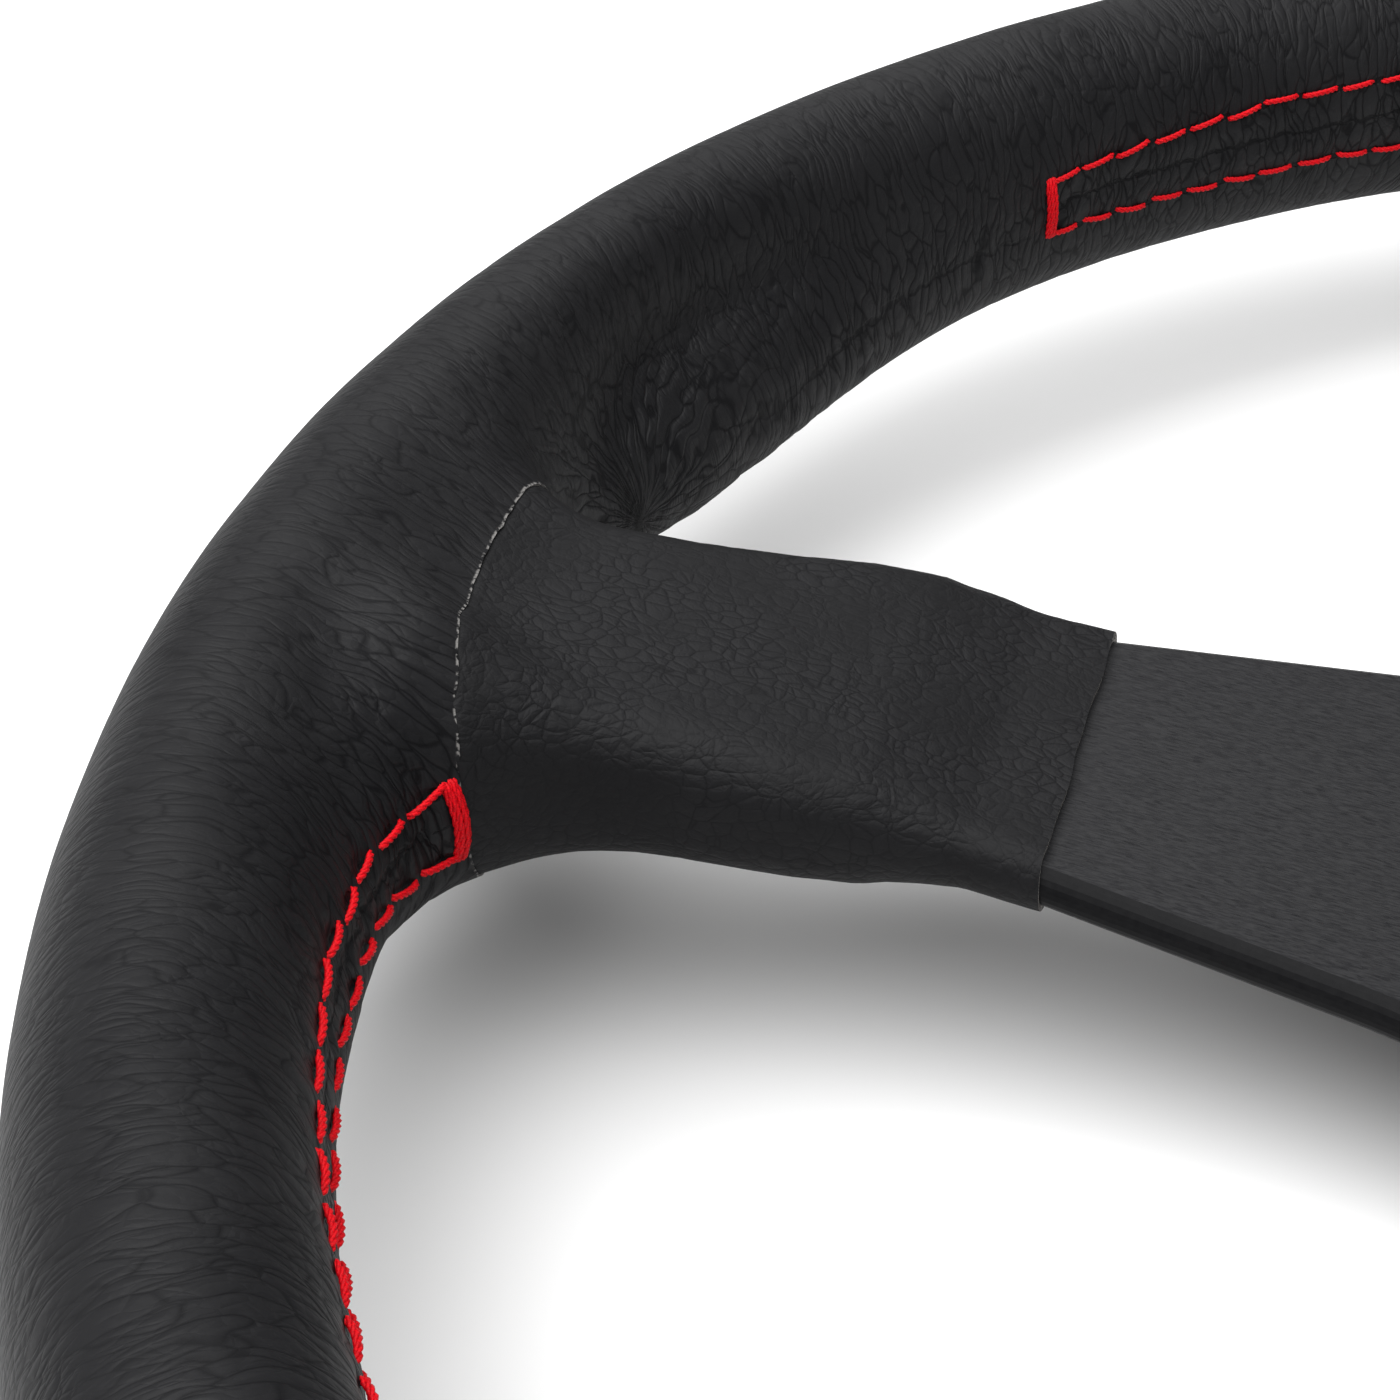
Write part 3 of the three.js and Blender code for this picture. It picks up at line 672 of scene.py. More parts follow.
def build_sleeve(name, points, triangles):
    """A spoke's leather, from its wavy cut mouth to just under the rim's edge."""
    angle, side = SPOKES[name]
    near = np.abs(wrapped(np.arctan2(points[:, 1], points[:, 0]) - angle)) < SLEEVE_SECTOR
    triangles = triangles[near[triangles].all(1)]
    points, triangles = clip_part(points, triangles, SEAM_OVERLAP - seam_value(points))
    along, across, _ = to_spoke(points, angle, side)
    wave = 0.12 * np.sin(across / 3.1) + 0.06 * np.sin(across / 1.3 + 1)
    points, triangles = clip_part(points, triangles, along - LEATHER_END - wave)
    along, _, _ = to_spoke(points, angle, side)
    relief = spoke_relief(points, -seam_value(points))
    thickness = np.where(along < LEATHER_END + MOUTH, LEATHER, TUCKED_LEATHER)
    sleeve, _ = leather_piece(f"spoke_sleeve_{name}", points, triangles, relief, thickness)
    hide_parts(f"spoke_leather_{name}")
    return sleeve


# ---------- stitching

# Each pass of thread is three strands. Its ends lie a depth under the skin, and its height
# along the pass follows a sine, flattened by a power. A stitch's span is in shares of the
# pitch. Its slant, jitter (round the wheel and the section) and overhang are angles.
THREAD_RADIUS = 0.19
STRAND_OFFSET = 0.17
STRAND_SIDES = 5
STITCH_DEPTH = 0.75
STITCH_FLATNESS = 0.34
STITCH_LIFT = 0.12
STITCH_TWIST = 0.42
STITCH_SPAN = (0.07, 0.93)
STITCH_SLANT = 0.012
JITTER = (0.0008, 0.016)
BAR_TWIST = 0.3
BAR_OVERHANG = 0.05
# The passes of a bar: how far each lies inside the run's end, and its lift over the skin.
BAR_PASSES = [(0.0, 0.16), (0.003, 0.16), (0.006, 0.16), (0.0016, 0.42), (0.0046, 0.42)]
STITCH_STEPS = 13


def tube_faces(ids):
    """Walls and end caps of closed tubes, from their point numbers: tube, ring, place in ring."""
    turned = np.roll(ids, -1, 2)
    walls = np.stack([ids[:, :-1], turned[:, :-1], turned[:, 1:], ids[:, 1:]], -1)
    return walls.reshape(-1, 4).tolist() + ids[:, 0, ::-1].tolist() + ids[:, -1].tolist()


def thread_passes(start, end, lift, twist):
    """Three twisted strands for each pass of thread over the leather.

    Start and end are arrays of (angle round the wheel, angle round the section).
    """
    t = np.linspace(0, 1, STITCH_STEPS)
    theta = start[:, :1] * (1 - t) + end[:, :1] * t
    phi = start[:, 1:] * (1 - t) + end[:, 1:] * t
    on_skin = surface_at(theta, phi)
    normal = unit(gradient(on_skin.reshape(-1, 3))).reshape(on_skin.shape)
    height = -STITCH_DEPTH + (lift + STITCH_DEPTH) * np.sin(math.pi * t) ** STITCH_FLATNESS
    middle = on_skin + normal * height[None, :, None]
    ahead = unit(np.gradient(middle, axis=1))
    side = unit(np.cross(ahead, normal))
    up = np.cross(side, ahead)

    points, faces = [], []
    length = np.linalg.norm(np.diff(middle, axis=1), axis=2).sum(1)
    around = full_turn(STRAND_SIDES)[:, None]
    offset = np.cos(around) * up[:, :, None] + np.sin(around) * side[:, :, None]
    shape = (len(start), STITCH_STEPS, STRAND_SIDES)
    rings = np.arange(math.prod(shape)).reshape(shape)
    for strand in range(3):
        turn = 2 * math.pi * (strand / 3 + twist * length[:, None] * t)
        turn = (turn + np.arange(len(start))[:, None])[..., None]
        centre = middle + STRAND_OFFSET * (np.cos(turn) * up + np.sin(turn) * side)
        points.append((centre[:, :, None] + THREAD_RADIUS * offset).reshape(-1, 3))
        faces += tube_faces(rings + strand * rings.size)
    return np.concatenate(points), faces


def build_stitching(name, first, last):
    """Two rows of running stitches, with a bar of thread across them at each end."""
    first, last = math.radians(first), math.radians(last)
    count = round((last - first) / STITCH_PITCH)
    pitch = (last - first) / count
    rng = np.random.default_rng(int(math.degrees(first)))
    starts, ends = [], []
    for row in (0, 1):
        at, to = (
            first + pitch * (np.arange(count) + share) + rng.normal(0, JITTER[0], count)
            for share in STITCH_SPAN
        )
        slant = STITCH_SLANT * (1 if row else -1)
        phi = row_phi(at, row) + slant + rng.normal(0, JITTER[1], count)
        starts.append(np.stack([at, phi], 1))
        phi = row_phi(to, row) - slant + rng.normal(0, JITTER[1], count)
        ends.append(np.stack([to, phi], 1))
    starts, ends = np.concatenate(starts), np.concatenate(ends)
    parts = [thread_passes(starts, ends, STITCH_LIFT, STITCH_TWIST)]
    for place, inward in ((first, 1), (last, -1)):
        for shift, lift in BAR_PASSES:
            lane = place + inward * shift
            top = np.array([[lane, row_phi(lane, 0) - BAR_OVERHANG]])
            foot = np.array([[lane + 0.001 * inward, row_phi(lane, 1) + BAR_OVERHANG]])
            parts.append(thread_passes(top, foot, lift, BAR_TWIST))
    points, faces = [], []
    for part_points, part_faces in parts:
        base = sum(len(p) for p in points)
        points.append(part_points)
        faces += [[corner + base for corner in face] for face in part_faces]
    made = make_object(f"{name}_thread", np.concatenate(points), faces)
    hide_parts(name)
    return made


# ---------- spoke plate

UPPER_EDGE = (21.2, 0.236)
LOWER_EDGE = (15.7, 0.152)
BOTTOM_EDGE = (18.5, 0.2)
HUB_RADIUS = 48.0
HUB_FILLET = 25.0
HAND_FILLET = 55.0
TAB_NECK = 112.0
TAB_END = 170.0
TAB_HALF_WIDTH = 13.5
PLATE_BORE = 25.0
BORE_SIDES = 96
EDGE_SWEEP = math.radians(74)
EDGE_RINGS = 11
EDGE_NORMAL = 0.93
SOFT_BEND = 3.0
PLATE_CREASE = math.radians(13)


def edge_line(edge, angle, left):
    """A spoke edge: its outward direction, its end where the leather starts, its distance."""
    offset, taper = edge
    sign = 1 if left else -1
    turn = np.array([[math.cos(angle), -math.sin(angle)], [math.sin(angle), math.cos(angle)]])
    normal = turn @ (np.array([taper, sign]) / math.hypot(taper, 1))
    anchor = turn @ np.array([LEATHER_END, sign * offset])
    return normal, anchor, normal @ anchor


def arc_points(centre, radius, start, end, step=1.2):
    """Points on the shorter arc between two points, both included."""
    first = math.atan2(*(start - centre)[::-1])
    sweep = wrapped(math.atan2(*(end - centre)[::-1]) - first)
    count = max(2, round(abs(sweep) * radius / step))
    angles = first + sweep * np.linspace(0, 1, count + 1)
    return centre + radius * np.stack([np.cos(angles), np.sin(angles)], 1)


def plate_outline():
    """Outline of the flat plate, clockwise from twelve o'clock."""
    upper_normal, upper_anchor, upper_distance = edge_line(UPPER_EDGE, 0, True)
    lower_normal, lower_anchor, lower_distance = edge_line(LOWER_EDGE, 0, False)
    bottom_normal, bottom_anchor, bottom_distance = edge_line(BOTTOM_EDGE, -math.pi / 2, True)
    reach = HUB_RADIUS + HUB_FILLET
    offset = upper_distance + HUB_FILLET
    along = np.array([upper_normal[1], -upper_normal[0]])
    centre = upper_normal * offset + along * math.sqrt(reach**2 - offset**2)
    hub_end = centre * HUB_RADIUS / reach
    upper_arc = arc_points(centre, HUB_FILLET, hub_end, centre - upper_normal * HUB_FILLET)
    centre = np.linalg.solve(
        np.stack([lower_normal, bottom_normal]),
        np.array([lower_distance, bottom_distance]) + HAND_FILLET,
    )
    lower_end, bottom_end = (centre - n * HAND_FILLET for n in (lower_normal, bottom_normal))
    lower_arc = arc_points(centre, HAND_FILLET, lower_end, bottom_end)
    half = np.concatenate(
        [
            arc_points(np.zeros(2), HUB_RADIUS, np.array([0, HUB_RADIUS]), hub_end)[:-1],
            upper_arc,
            [upper_anchor, (TAB_NECK, TAB_HALF_WIDTH), (TAB_END, TAB_HALF_WIDTH)],
            [(TAB_END, -TAB_HALF_WIDTH), (TAB_NECK, -TAB_HALF_WIDTH), lower_anchor],
            lower_arc,
            [bottom_anchor, (TAB_HALF_WIDTH, -TAB_NECK), (TAB_HALF_WIDTH, -TAB_END)],
        ]
    )
    return np.concatenate([half, half[:0:-1] * (-1, 1)])


def bent_height(distance):
    """Rise of the plate at a distance from the axis, with a soft bend."""
    past = distance - BEND_RADIUS
    eased = (past + SOFT_BEND) ** 2 / (4 * SOFT_BEND)
    eased = np.where(np.abs(past) < SOFT_BEND, eased, np.maximum(past, 0))
    return SPOKE_SLOPE * np.minimum(eased, TAB_START - BEND_RADIUS)


def plate_rings():
    """Loops of points round the flat plate: up its rounded edge, then the bore's two."""
    outline = plate_outline()
    ahead = unit(np.roll(outline, -1, 0) - np.roll(outline, 1, 0))
    inward = np.stack([ahead[:, 1], -ahead[:, 0]], 1)
    half = PLATE_THICKNESS / 2
    radius = half / math.sin(EDGE_SWEEP)
    rings = []
    for sweep in np.linspace(-EDGE_SWEEP, EDGE_SWEEP, EDGE_RINGS):
        ring = outline + inward * radius * (1 - math.cos(sweep))
        rings.append(np.column_stack([ring, np.full(len(ring), radius * math.sin(sweep))]))
    bore = full_turn(BORE_SIDES)
    return rings + [round_axis(PLATE_BORE, bore, np.full(BORE_SIDES, z)) for z in (-half, half)]


def add_walls(mesh, low, high):
    """A band of faces between two loops."""
    for i in range(len(low)):
        after = (i + 1) % len(low)
        mesh.faces.new((low[i], high[i], high[after], low[after]))


def build_plate():
    """The bent spoke plate with its rounded edge."""
    mesh = bmesh.new()
    loops = [[mesh.verts.new(p) for p in ring] for ring in plate_rings()]
    *edge_loops, bore_low, bore_high = loops
    for low, high in zip(edge_loops, edge_loops[1:]):
        add_walls(mesh, low, high)
    add_walls(mesh, bore_high, bore_low)
    for outer, inner, flip in ((edge_loops[0], bore_low, True), (edge_loops[-1], bore_high, False)):
        corners = outer + inner
        for tri in tessellate_polygon([[v.co for v in outer], [v.co for v in inner]]):
            face = [corners[i] for i in tri]
            mesh.faces.new(face[::-1] if flip else face)
    for x, y in ((1, 0), (-1, 0), (0, -1)):
        for distance in (*(BEND_RADIUS + SOFT_BEND * np.linspace(-1, 1, 5)), TAB_START):
            geometry = mesh.verts[:] + mesh.edges[:] + mesh.faces[:]
            place = (x * distance, y * distance, 0)
            bmesh.ops.bisect_plane(mesh, geom=geometry, plane_co=place, plane_no=(x, y, 0))
    bmesh.ops.recalc_face_normals(mesh, faces=mesh.faces)
    flat = np.array([v.co for v in mesh.verts])
    distance = np.maximum(np.abs(flat[:, 0]), -flat[:, 1])
    for vertex, rise in zip(mesh.verts, bent_height(distance)):
        vertex.co.z += rise + HUB_PLATE_MIDDLE
        vertex.co *= MM
    for edge in mesh.edges:
        edge.smooth = len(edge.link_faces) == 2 and edge.calc_face_angle(0) < PLATE_CREASE
    for face in mesh.faces:
        face.smooth = True
        # Faces that turn away from up take the edge material, which is painted darker as shade.
        face.material_index = int(abs(face.normal.z) < EDGE_NORMAL)
    made_mesh = bpy.data.meshes.new("spoke_plate_finished")
    mesh.to_mesh(made_mesh)
    mesh.free()
    made = add_piece("spoke_plate_finished", made_mesh)
    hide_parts("spoke_plate")
    return made


# ---------- springs and hub pieces

UP = np.array([0.0, 0.0, 1.0])
COIL_STEPS = 40
WIRE_SIDES = 12
FLAT_TURN = 0.7
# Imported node, mean radius, wire, turns, joint, height of the end that stays put, and the share
# of the length that is left when the joint is at its limit.
SPRINGS = {
    "collar_spring_wire": ("collar_spring", 27.0, 1.3, 2.5, "collar_pull", 10.7, 0.555),
    "horn_spring_wire": ("horn_spring", 9.0, 1.0, 3.5, "horn_press", 16.9, 0.69),
}
SOFTENED = "bolt_ring horn_housing horn_cap coupling_body release_collar collar_circlip".split()
CORNER = 0.2


def build_spring(name, node, radius, wire, turns, joint, anchor_height, keep):
    """A round-wire spring as tall as its imported node."""
    low, high = box_mm(node)
    t = np.linspace(0, 1, round(turns * COIL_STEPS) + 1)
    bottom, top = low[2] + wire / 2, high[2] - wire / 2
    angle = t * turns * 2 * math.pi
    flat_end = FLAT_TURN / turns
    rise = np.interp(t, [0, flat_end, 1 - flat_end, 1], [0, 0.1, 0.9, 1])
    height = bottom + (top - bottom) * rise
    outward = round_axis(1.0, angle, np.zeros_like(angle))
    centre = radius * outward + height[:, None] * UP
    around = full_turn(WIRE_SIDES)[:, None]
    offset = np.cos(around) * outward[:, None] + np.sin(around) * UP
    points = (centre[:, None] + wire / 2 * offset).reshape(-1, 3)
    made = make_object(name, points, tube_faces(np.arange(len(points)).reshape(1, -1, WIRE_SIDES)))
    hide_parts(node)
    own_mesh(made)
    return made


def soften(node):
    """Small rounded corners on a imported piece, and smooth shading between them."""
    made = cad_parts[node]
    weld = made.modifiers.new("weld", "WELD")
    weld.merge_threshold = 1e-5
    merge = made.modifiers.new("merge_flats", "DECIMATE")
    merge.decimate_type = "DISSOLVE"
    merge.angle_limit = math.radians(1)
    bevel = made.modifiers.new("corners", "BEVEL")
    bevel.width = CORNER * MM
    bevel.segments = 2
    bevel.limit_method = "ANGLE"
    bevel.angle_limit = math.radians(32)
    bevel.harden_normals = True
    made.data.polygons.foreach_set("use_smooth", [True] * len(made.data.polygons))


# ---------- materials


class Look:
    """A material and the nodes that feed its shader."""

    def __init__(self, name, roughness=0.5, metallic=0.0, specular=0.5):
        self.material = bpy.data.materials.new(name)
        self.material.use_nodes = True
        self.tree = self.material.node_tree
        self.shader = self.tree.nodes["Principled BSDF"]
        self.shader.inputs["Roughness"].default_value = roughness
        self.shader.inputs["Metallic"].default_value = metallic
        self.shader.inputs["Specular IOR Level"].default_value = specular
        place = self.node("TexCoord", out="Object")
        self.place = self.scaled(place, (1 / MM, 1 / MM, 1 / MM))

    def node(self, kind, inputs=(), out=0, **settings):
        made = self.tree.nodes.new(f"ShaderNode{kind}")
        for key, value in settings.items():
            setattr(made, key, value)
        for key, value in dict(inputs).items():
            if isinstance(value, bpy.types.NodeSocket):
                self.tree.links.new(value, made.inputs[key])
            else:
                made.inputs[key].default_value = value
        return made.outputs[out]

    def math(self, operation, a, b=0.0, c=0.0):
        return self.node("Math", {0: a, 1: b, 2: c}, operation=operation)

    def times(self, a, b):
        return self.math("MULTIPLY", a, b)

    def hypotenuse(self, a, b):
        return self.math("SQRT", self.plus(self.times(a, a), b, b))

    def plus(self, base, value, share=1.0):
        """A base with a share of a value added to it."""
        return self.math("MULTIPLY_ADD", value, share, base)

    def scaled(self, vector, scale):
        return self.node("VectorMath", {0: vector, 1: scale}, operation="MULTIPLY")

    def shifted(self, vector, shift):
        return self.node("VectorMath", {0: vector, 1: shift}, operation="ADD")

    def drifted(self, vector, noise, reach):
        """A vector that a colour noise moves about, by up to half its reach each way."""
        return self.shifted(vector, self.scaled(self.shifted(noise, (-0.5, -0.5, -0.5)), reach))

    def joined(self, x, y, z=0.0):
        return self.node("CombineXYZ", {0: x, 1: y, 2: z})

    def split(self, vector):
        return self.node("SeparateXYZ", {0: vector}).node.outputs[:]

    def attribute(self, name):
        return self.node("Attribute", out="Vector", attribute_name=name)

    def noise(self, vector=None, scale=1.0, detail=2.0, roughness=0.5, out="Fac"):
        vector = self.place if vector is None else vector
        inputs = {"Vector": vector, "Scale": scale, "Detail": detail, "Roughness": roughness}
        return self.node("TexNoise", inputs, out=out)

    def ranged(self, value, low, high, to_low=0.0, to_high=1.0):
        inputs = {0: value, 1: low, 2: high, 3: to_low, 4: to_high}
        return self.node("MapRange", inputs, interpolation_type="SMOOTHSTEP")

    def cells(self, vector, reach=0.42, border=0.09):
        """Rounded cells: their domes, from 0 at the borders to 1, and the borders' lines."""
        inputs = {"Vector": vector, "Scale": 1.0, "Randomness": 0.9}
        edge = self.node("TexVoronoi", inputs, feature="DISTANCE_TO_EDGE")
        share = self.math("MINIMUM", self.math("DIVIDE", edge, reach), 1.0)
        dome = self.times(share, self.math("SUBTRACT", 2.0, share))
        return dome, self.ranged(edge, 0.0, border, 1.0, 0.0)

    def blended(self, share, a, b):
        return self.plus(a, share, self.math("SUBTRACT", b, a))

    def mixed(self, share, a, b):
        a, b = ((*colour, 1) if isinstance(colour, tuple) else colour for colour in (a, b))
        return self.node("Mix", {0: share, 6: a, 7: b}, out=2, data_type="RGBA")

    def mottled(self, value, a, b, low=0.3):
        """From one colour to another as a noise goes through a range."""
        return self.mixed(self.ranged(value, low, 0.7), a, b)

    def finish(self, colour, height=0.0, bump_mm=0.0, roughness=None, specular=None):
        """The material, with its shader fed by what is given."""
        fed = {"Base Color": colour, "Roughness": roughness, "Specular IOR Level": specular}
        if bump_mm:
            inputs = {"Strength": 1.0, "Distance": bump_mm * MM, "Height": height}
            fed["Normal"] = self.node("Bump", inputs, out="Normal")
        for socket, value in fed.items():
            if value is not None:
                self.tree.links.new(value, self.shader.inputs[socket])
        return self.material


def rim_grain(look):
    """Height of the rim's cells, drawn out across it and fanned at the gathers, and borders."""
    skin = look.attribute("skin")
    drift = look.noise(look.scaled(skin, (0.12, 0.12, 0.09)), out="Color")
    skin = look.drifted(skin, drift, (6.0, 6.0, 9.0))
    dome, border = look.cells(look.scaled(skin, (0.72, 0.72, 0.16)))
    small_dome, _ = look.cells(look.scaled(skin, (1.3, 1.3, 0.45)))

    turn_x, turn_y, away = look.split(look.attribute("gather"))
    drift = look.noise(scale=0.22, detail=1.0, out="Color")
    fan = look.joined(turn_x, turn_y, look.times(away, 0.013))
    fan = look.drifted(fan, drift, (0.22, 0.22, 0.0))
    fan_dome, fan_border = look.cells(look.scaled(fan, (8.0, 8.0, 8.0)))

    strength, gathered, _ = look.split(look.attribute("crease"))
    height = look.times(look.blended(gathered, dome, fan_dome), strength)
    border = look.times(look.blended(gathered, border, fan_border), strength)
    return look.plus(height, small_dome, 0.3), border


def rim_sewing(look):
    """Masks of the needle holes and of the butt seam's ragged line."""
    row, butt, shown = look.split(look.attribute("sewn"))
    beat, sewn, _ = look.split(look.attribute("stitch"))
    to_hole = look.math("PINGPONG", look.math("FRACT", beat), 0.5)
    to_hole = look.times(look.math("SUBTRACT", to_hole, 0.06), 5.2)
    hole = look.ranged(look.hypotenuse(to_hole, row), 0.35, 0.6, 1.0, 0.0)
    ragged = look.plus(-1.2, look.noise(scale=0.5), 2.4)
    to_line = look.math("ABSOLUTE", look.plus(butt, ragged))
    line = look.ranged(to_line, 0.1, 0.5, 1.0, 0.0)
    return look.times(hole, sewn), look.times(line, shown)


def rim_leather_look():
    """Matt black leather: creased cells, needle holes and a butt seam, with shade painted darker
    along their lines, and a pale fuzz at the seams.
    """
    look = Look("rim_leather_black")
    grain = look.noise(scale=2.6)
    patch = look.noise(scale=0.06, detail=1.0)
    height, border = rim_grain(look)
    hole, line = rim_sewing(look)
    height = look.plus(look.plus(height, grain, 0.12), hole, -1.6)
    height = look.plus(height, line, -0.9)

    crease_shade_mask = look.math("MAXIMUM", border, look.math("MAXIMUM", line, hole))
    dark = look.math("MINIMUM", crease_shade_mask, 1.0)
    colour = look.mottled(patch, (0.0052, 0.0052, 0.006), (0.0078, 0.0078, 0.0086))
    # Painted shade: the leather is mixed towards near black along the cell borders, needle holes
    # and butt seam, where creases and holes would be in shade.
    colour = look.mixed(look.times(dark, 0.6), colour, (0.0028, 0.0028, 0.0032))
    _, _, off_seam = look.split(look.attribute("stitch"))
    fibre = look.ranged(look.noise(scale=1.7, detail=3.0), 0.46, 0.58)
    fuzz = look.times(look.ranged(off_seam, 0.1, 0.26, 1.0, 0.0), fibre)
    colour = look.mixed(fuzz, colour, (0.15, 0.145, 0.14))
    specular = look.ranged(dark, 0.0, 1.0, 0.14, 0.07)
    return look.finish(colour, height, 0.15, look.plus(0.5, grain, 0.14), specular)


def raw_edge_look():
    """The cut edge of the leather: a felt of grey fibres."""
    look = Look("leather_cut_edge", 0.85)
    fibre = look.noise(look.scaled(look.place, (5.0, 5.0, 9.0)), detail=4.0)
    felt = look.mottled(fibre, (0.03, 0.028, 0.027), (0.26, 0.245, 0.23), low=0.35)
    return look.finish(felt, fibre, 0.15)


def spoke_leather_look():
    """Matt black leather with a pebbled grain, rounder than the rim's, with shade painted darker
    into the borders between pebbles.
    """
    look = Look("spoke_leather_black")
    drift = look.noise(scale=0.22, detail=1.0, out="Color")
    place = look.drifted(look.place, drift, (2.4, 2.4, 2.4))
    dome, border = look.cells(look.scaled(place, (0.56, 0.84, 0.76)), reach=0.5)
    small_dome, _ = look.cells(look.scaled(place, (1.5, 1.8, 1.7)))
    patch = look.noise(scale=0.09, detail=1.0)
    grain = look.noise(scale=2.4)
    height = look.times(dome, look.ranged(patch, 0.35, 0.65, 0.55, 1.0))
    height = look.plus(look.plus(height, small_dome, 0.2), grain, 0.12)
    dark = look.times(border, look.ranged(patch, 0.35, 0.65, 0.2, 0.7))
    colour = look.mottled(patch, (0.005, 0.005, 0.0056), (0.0072, 0.0072, 0.008))
    # Painted shade: the borders between the pebbles are mixed towards near black, where creases
    # would be in shade.
    colour = look.mixed(look.times(dark, 0.7), colour, (0.0026, 0.0026, 0.003))
    specular = look.ranged(dark, 0.0, 1.0, 0.12, 0.06)
    return look.finish(colour, height, 0.105, look.plus(0.53, grain, 0.14), specular)


def thread_look():
    """Twisted red polyester thread."""
    look = Look("thread_red", 0.55, specular=0.12)
    fibre = look.noise(scale=7.0, detail=3.0)
    colour = look.mottled(fibre, (0.34, 0.001, 0.004), (0.64, 0.002, 0.008))
    return look.finish(colour, fibre, 0.05)


def plate_look():
    """Black anodised plate, brushed along the level spokes."""
    look = Look("plate_black_brushed", specular=0.14)
    streak = look.noise(look.scaled(look.place, (0.16, 5.5, 5.5)), detail=3.0, roughness=0.6)
    scratch = look.ranged(look.noise(look.scaled(look.place, (0.26, 3.2, 3.2))), 0.4, 0.32)
    colour = look.mottled(streak, (0.007, 0.007, 0.008), (0.018, 0.018, 0.019))
    colour = look.mixed(look.times(scratch, 0.6), colour, (0.003, 0.003, 0.004))
    height = look.plus(streak, scratch, -0.8)
    return look.finish(colour, height, 0.03, look.plus(0.46, streak, 0.22))


def plate_edge_shaded_look():
    """The plate's turned edge: smoother than its faces, and painted darker than them as shade."""
    look = Look("plate_edge_black_painted_shade", specular=0.035)
    grain = look.noise(scale=1.6, detail=3.0)
    # Painted shade: the edge's colour is darker than the plate's faces, which are the same black
    # anodised metal.
    colour = look.mixed(grain, (0.004, 0.004, 0.0045), (0.009, 0.009, 0.0095))
    return look.finish(colour, grain, 0.006, look.plus(0.24, grain, 0.16))


def turned_look(name, dark, light, roughness, metallic):
    """A turned part: fine rings round the steering axis, with a slight mottle."""
    look = Look(name, metallic=metallic)
    x, y, height = look.split(look.place)
    rings = look.joined(look.times(look.hypotenuse(x, y), 6.0), look.times(height, 6.0))
    rings = look.noise(rings, detail=3.0, roughness=0.6)
    mottle = look.noise(scale=0.35, detail=3.0)
    colour = look.mottled(mottle, dark, light)
    return look.finish(colour, rings, 0.012, look.plus(roughness - 0.1, rings, 0.2))


def grained_look(name, dark, light, roughness, metallic, size_mm, bump_mm):
    """A cast, moulded or plated surface with an even fine grain."""
    look = Look(name, metallic=metallic)
    grain = look.noise(scale=1.0 / size_mm, detail=3.0)
    colour = look.mottled(look.noise(scale=0.12), dark, light)
    return look.finish(colour, grain, bump_mm, look.plus(roughness - 0.07, grain, 0.15))


def dress(pieces, *looks):
    """Gives pieces their materials, one for each material index."""
    for made in pieces:
        for look in looks:
            made.data.materials.append(look)


def dress_packed_pieces(steel):
    """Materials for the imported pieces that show, by the start of their names."""
    alloy = turned_look("alloy_machined", (0.5, 0.51, 0.52), (0.62, 0.63, 0.64), 0.32, 1.0)
    ring = (0.017, 0.017, 0.018), (0.021, 0.021, 0.022)
    collar = (0.3, 0.01, 0.016), (0.42, 0.016, 0.024)
    oxide = (0.02, 0.02, 0.021), (0.032, 0.032, 0.034)
    plastic = (0.009, 0.009, 0.01), (0.013, 0.013, 0.014)
    brass = (0.52, 0.34, 0.1), (0.66, 0.46, 0.17)
    looks = {
        ("rim_core_ring", "coupling_body"): alloy,
        ("bolt_ring",): turned_look("ring_black_anodised", *ring, 0.38, 0.4),
        ("release_collar",): turned_look("collar_red_anodised", *collar, 0.3, 0.85),
        ("wheel_bolt", "collar_circlip"): grained_look(
            "steel_black_oxide", *oxide, 0.38, 0.9, 0.3, 0.01
        ),
        ("horn_housing", "horn_cap", "horn_feed_bush"): grained_look(
            "plastic_black_moulded", *plastic, 0.52, 0.0, 0.45, 0.03
        ),
        ("horn_contact", "horn_feed_pin"): grained_look(
            "brass_contact", *brass, 0.28, 1.0, 0.5, 0.01
        ),
        ("tab_rivet", "locking_ball"): steel,
    }
    for node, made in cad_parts.items():
        for starts, look in looks.items():
            if node.startswith(starts):
                made.data.materials.clear()
                dress([made], look)


skin_points, skin_triangles = leather_surface()
cut_edge = raw_edge_look()
dress([build_rim_leather(skin_points, skin_triangles)], rim_leather_look(), cut_edge)
sleeves = [build_sleeve(name, skin_points, skin_triangles) for name in SPOKES]
dress(sleeves, spoke_leather_look(), cut_edge)
threads = [build_stitching(name, first, last) for name, (first, last) in STITCH_RUNS.items()]
dress(threads, thread_look())
dress([build_plate()], plate_look(), plate_edge_shaded_look())
bright_steel = grained_look(
    "steel_bright", (0.5, 0.5, 0.51), (0.62, 0.62, 0.63), 0.24, 1.0, 0.5, 0.008
)
dress([build_spring(name, *spring) for name, spring in SPRINGS.items()], bright_steel)
for part in SOFTENED:
    soften(part)
dress_packed_pieces(bright_steel)

# ---------- floor, light and camera

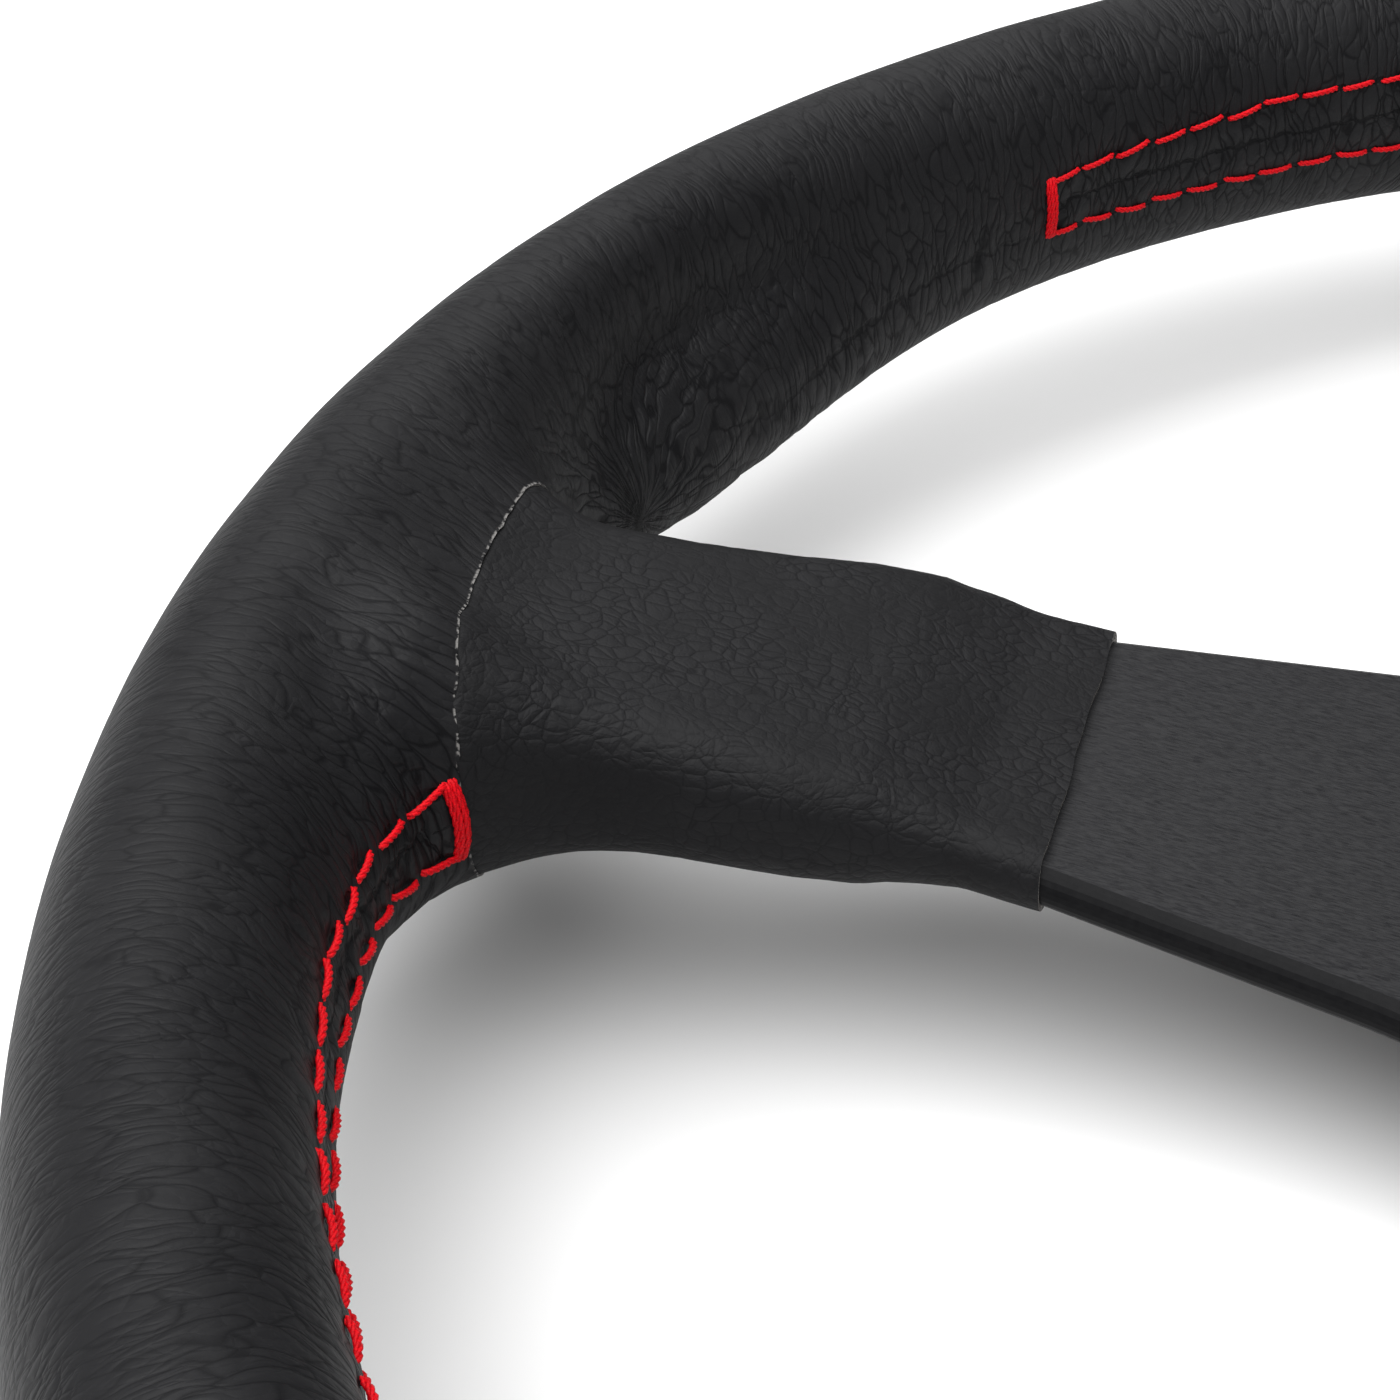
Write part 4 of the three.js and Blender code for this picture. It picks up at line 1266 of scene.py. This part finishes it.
FLOOR_REACH = 3000.0


def floor_look():
    """Plain pale floor."""
    look = Look("floor_pale", 0.7, specular=0.2)
    haze = look.noise(scale=0.01, detail=1.0)
    return look.finish(look.mixed(haze, (0.655, 0.655, 0.655), (0.665, 0.665, 0.665)))


corners = [[x * FLOOR_REACH, y * FLOOR_REACH, 0] for x, y in ((-1, -1), (1, -1), (1, 1), (-1, 1))]
floor = make_object("floor", corners, [[0, 1, 2, 3]], body=None)
dress([floor], floor_look())


def area_light(name, place, aim, size, watts):
    """A square lamp at a place, in metres, that shines at a point."""
    light = bpy.data.lights.new(name, "AREA")
    light.size = size
    light.energy = watts
    made = add_piece(name, light, body=None)
    made.location = place
    made.rotation_euler = (Vector(aim) - Vector(place)).to_track_quat("-Z", "Y").to_euler()


area_light("key", (-0.3, -0.25, 1.3), (-0.1, 0, 0), 1.9, 60)
area_light("rear", (-0.4, 1.1, 0.9), (-0.1, 0, 0), 0.9, 3)
world = bpy.data.worlds.new("studio")
world.use_nodes = True
background = world.node_tree.nodes["Background"]
background.inputs["Color"].default_value = (1, 1, 1, 1)
background.inputs["Strength"].default_value = 0.38
bpy.context.scene.world = world
bpy.context.scene.view_settings.view_transform = "Standard"

CAMERA_PLACE = Vector((-65.1, -186.8, 133.5 + RIM_Z)) * MM
CAMERA_AIM = Vector((-127.5, -7.6, RIM_Z)) * MM
CAMERA_ROLL = -0.071
CAMERA_LENS = 68.94
CAMERA_SENSOR = 36.0


def add_camera():
    """The camera at the photograph's fitted place, rolled a little."""
    data = bpy.data.cameras.new("camera")
    data.lens = CAMERA_LENS
    data.sensor_width = CAMERA_SENSOR
    data.clip_start = 0.01
    turn = (CAMERA_AIM - CAMERA_PLACE).to_track_quat("-Z", "Y").to_matrix()
    turn = (turn @ Matrix.Rotation(CAMERA_ROLL, 3, "Z")).to_4x4()
    made = add_piece("camera", data, body=None)
    made.matrix_world = Matrix.Translation(CAMERA_PLACE) @ turn
    bpy.context.scene.camera = made


add_camera()
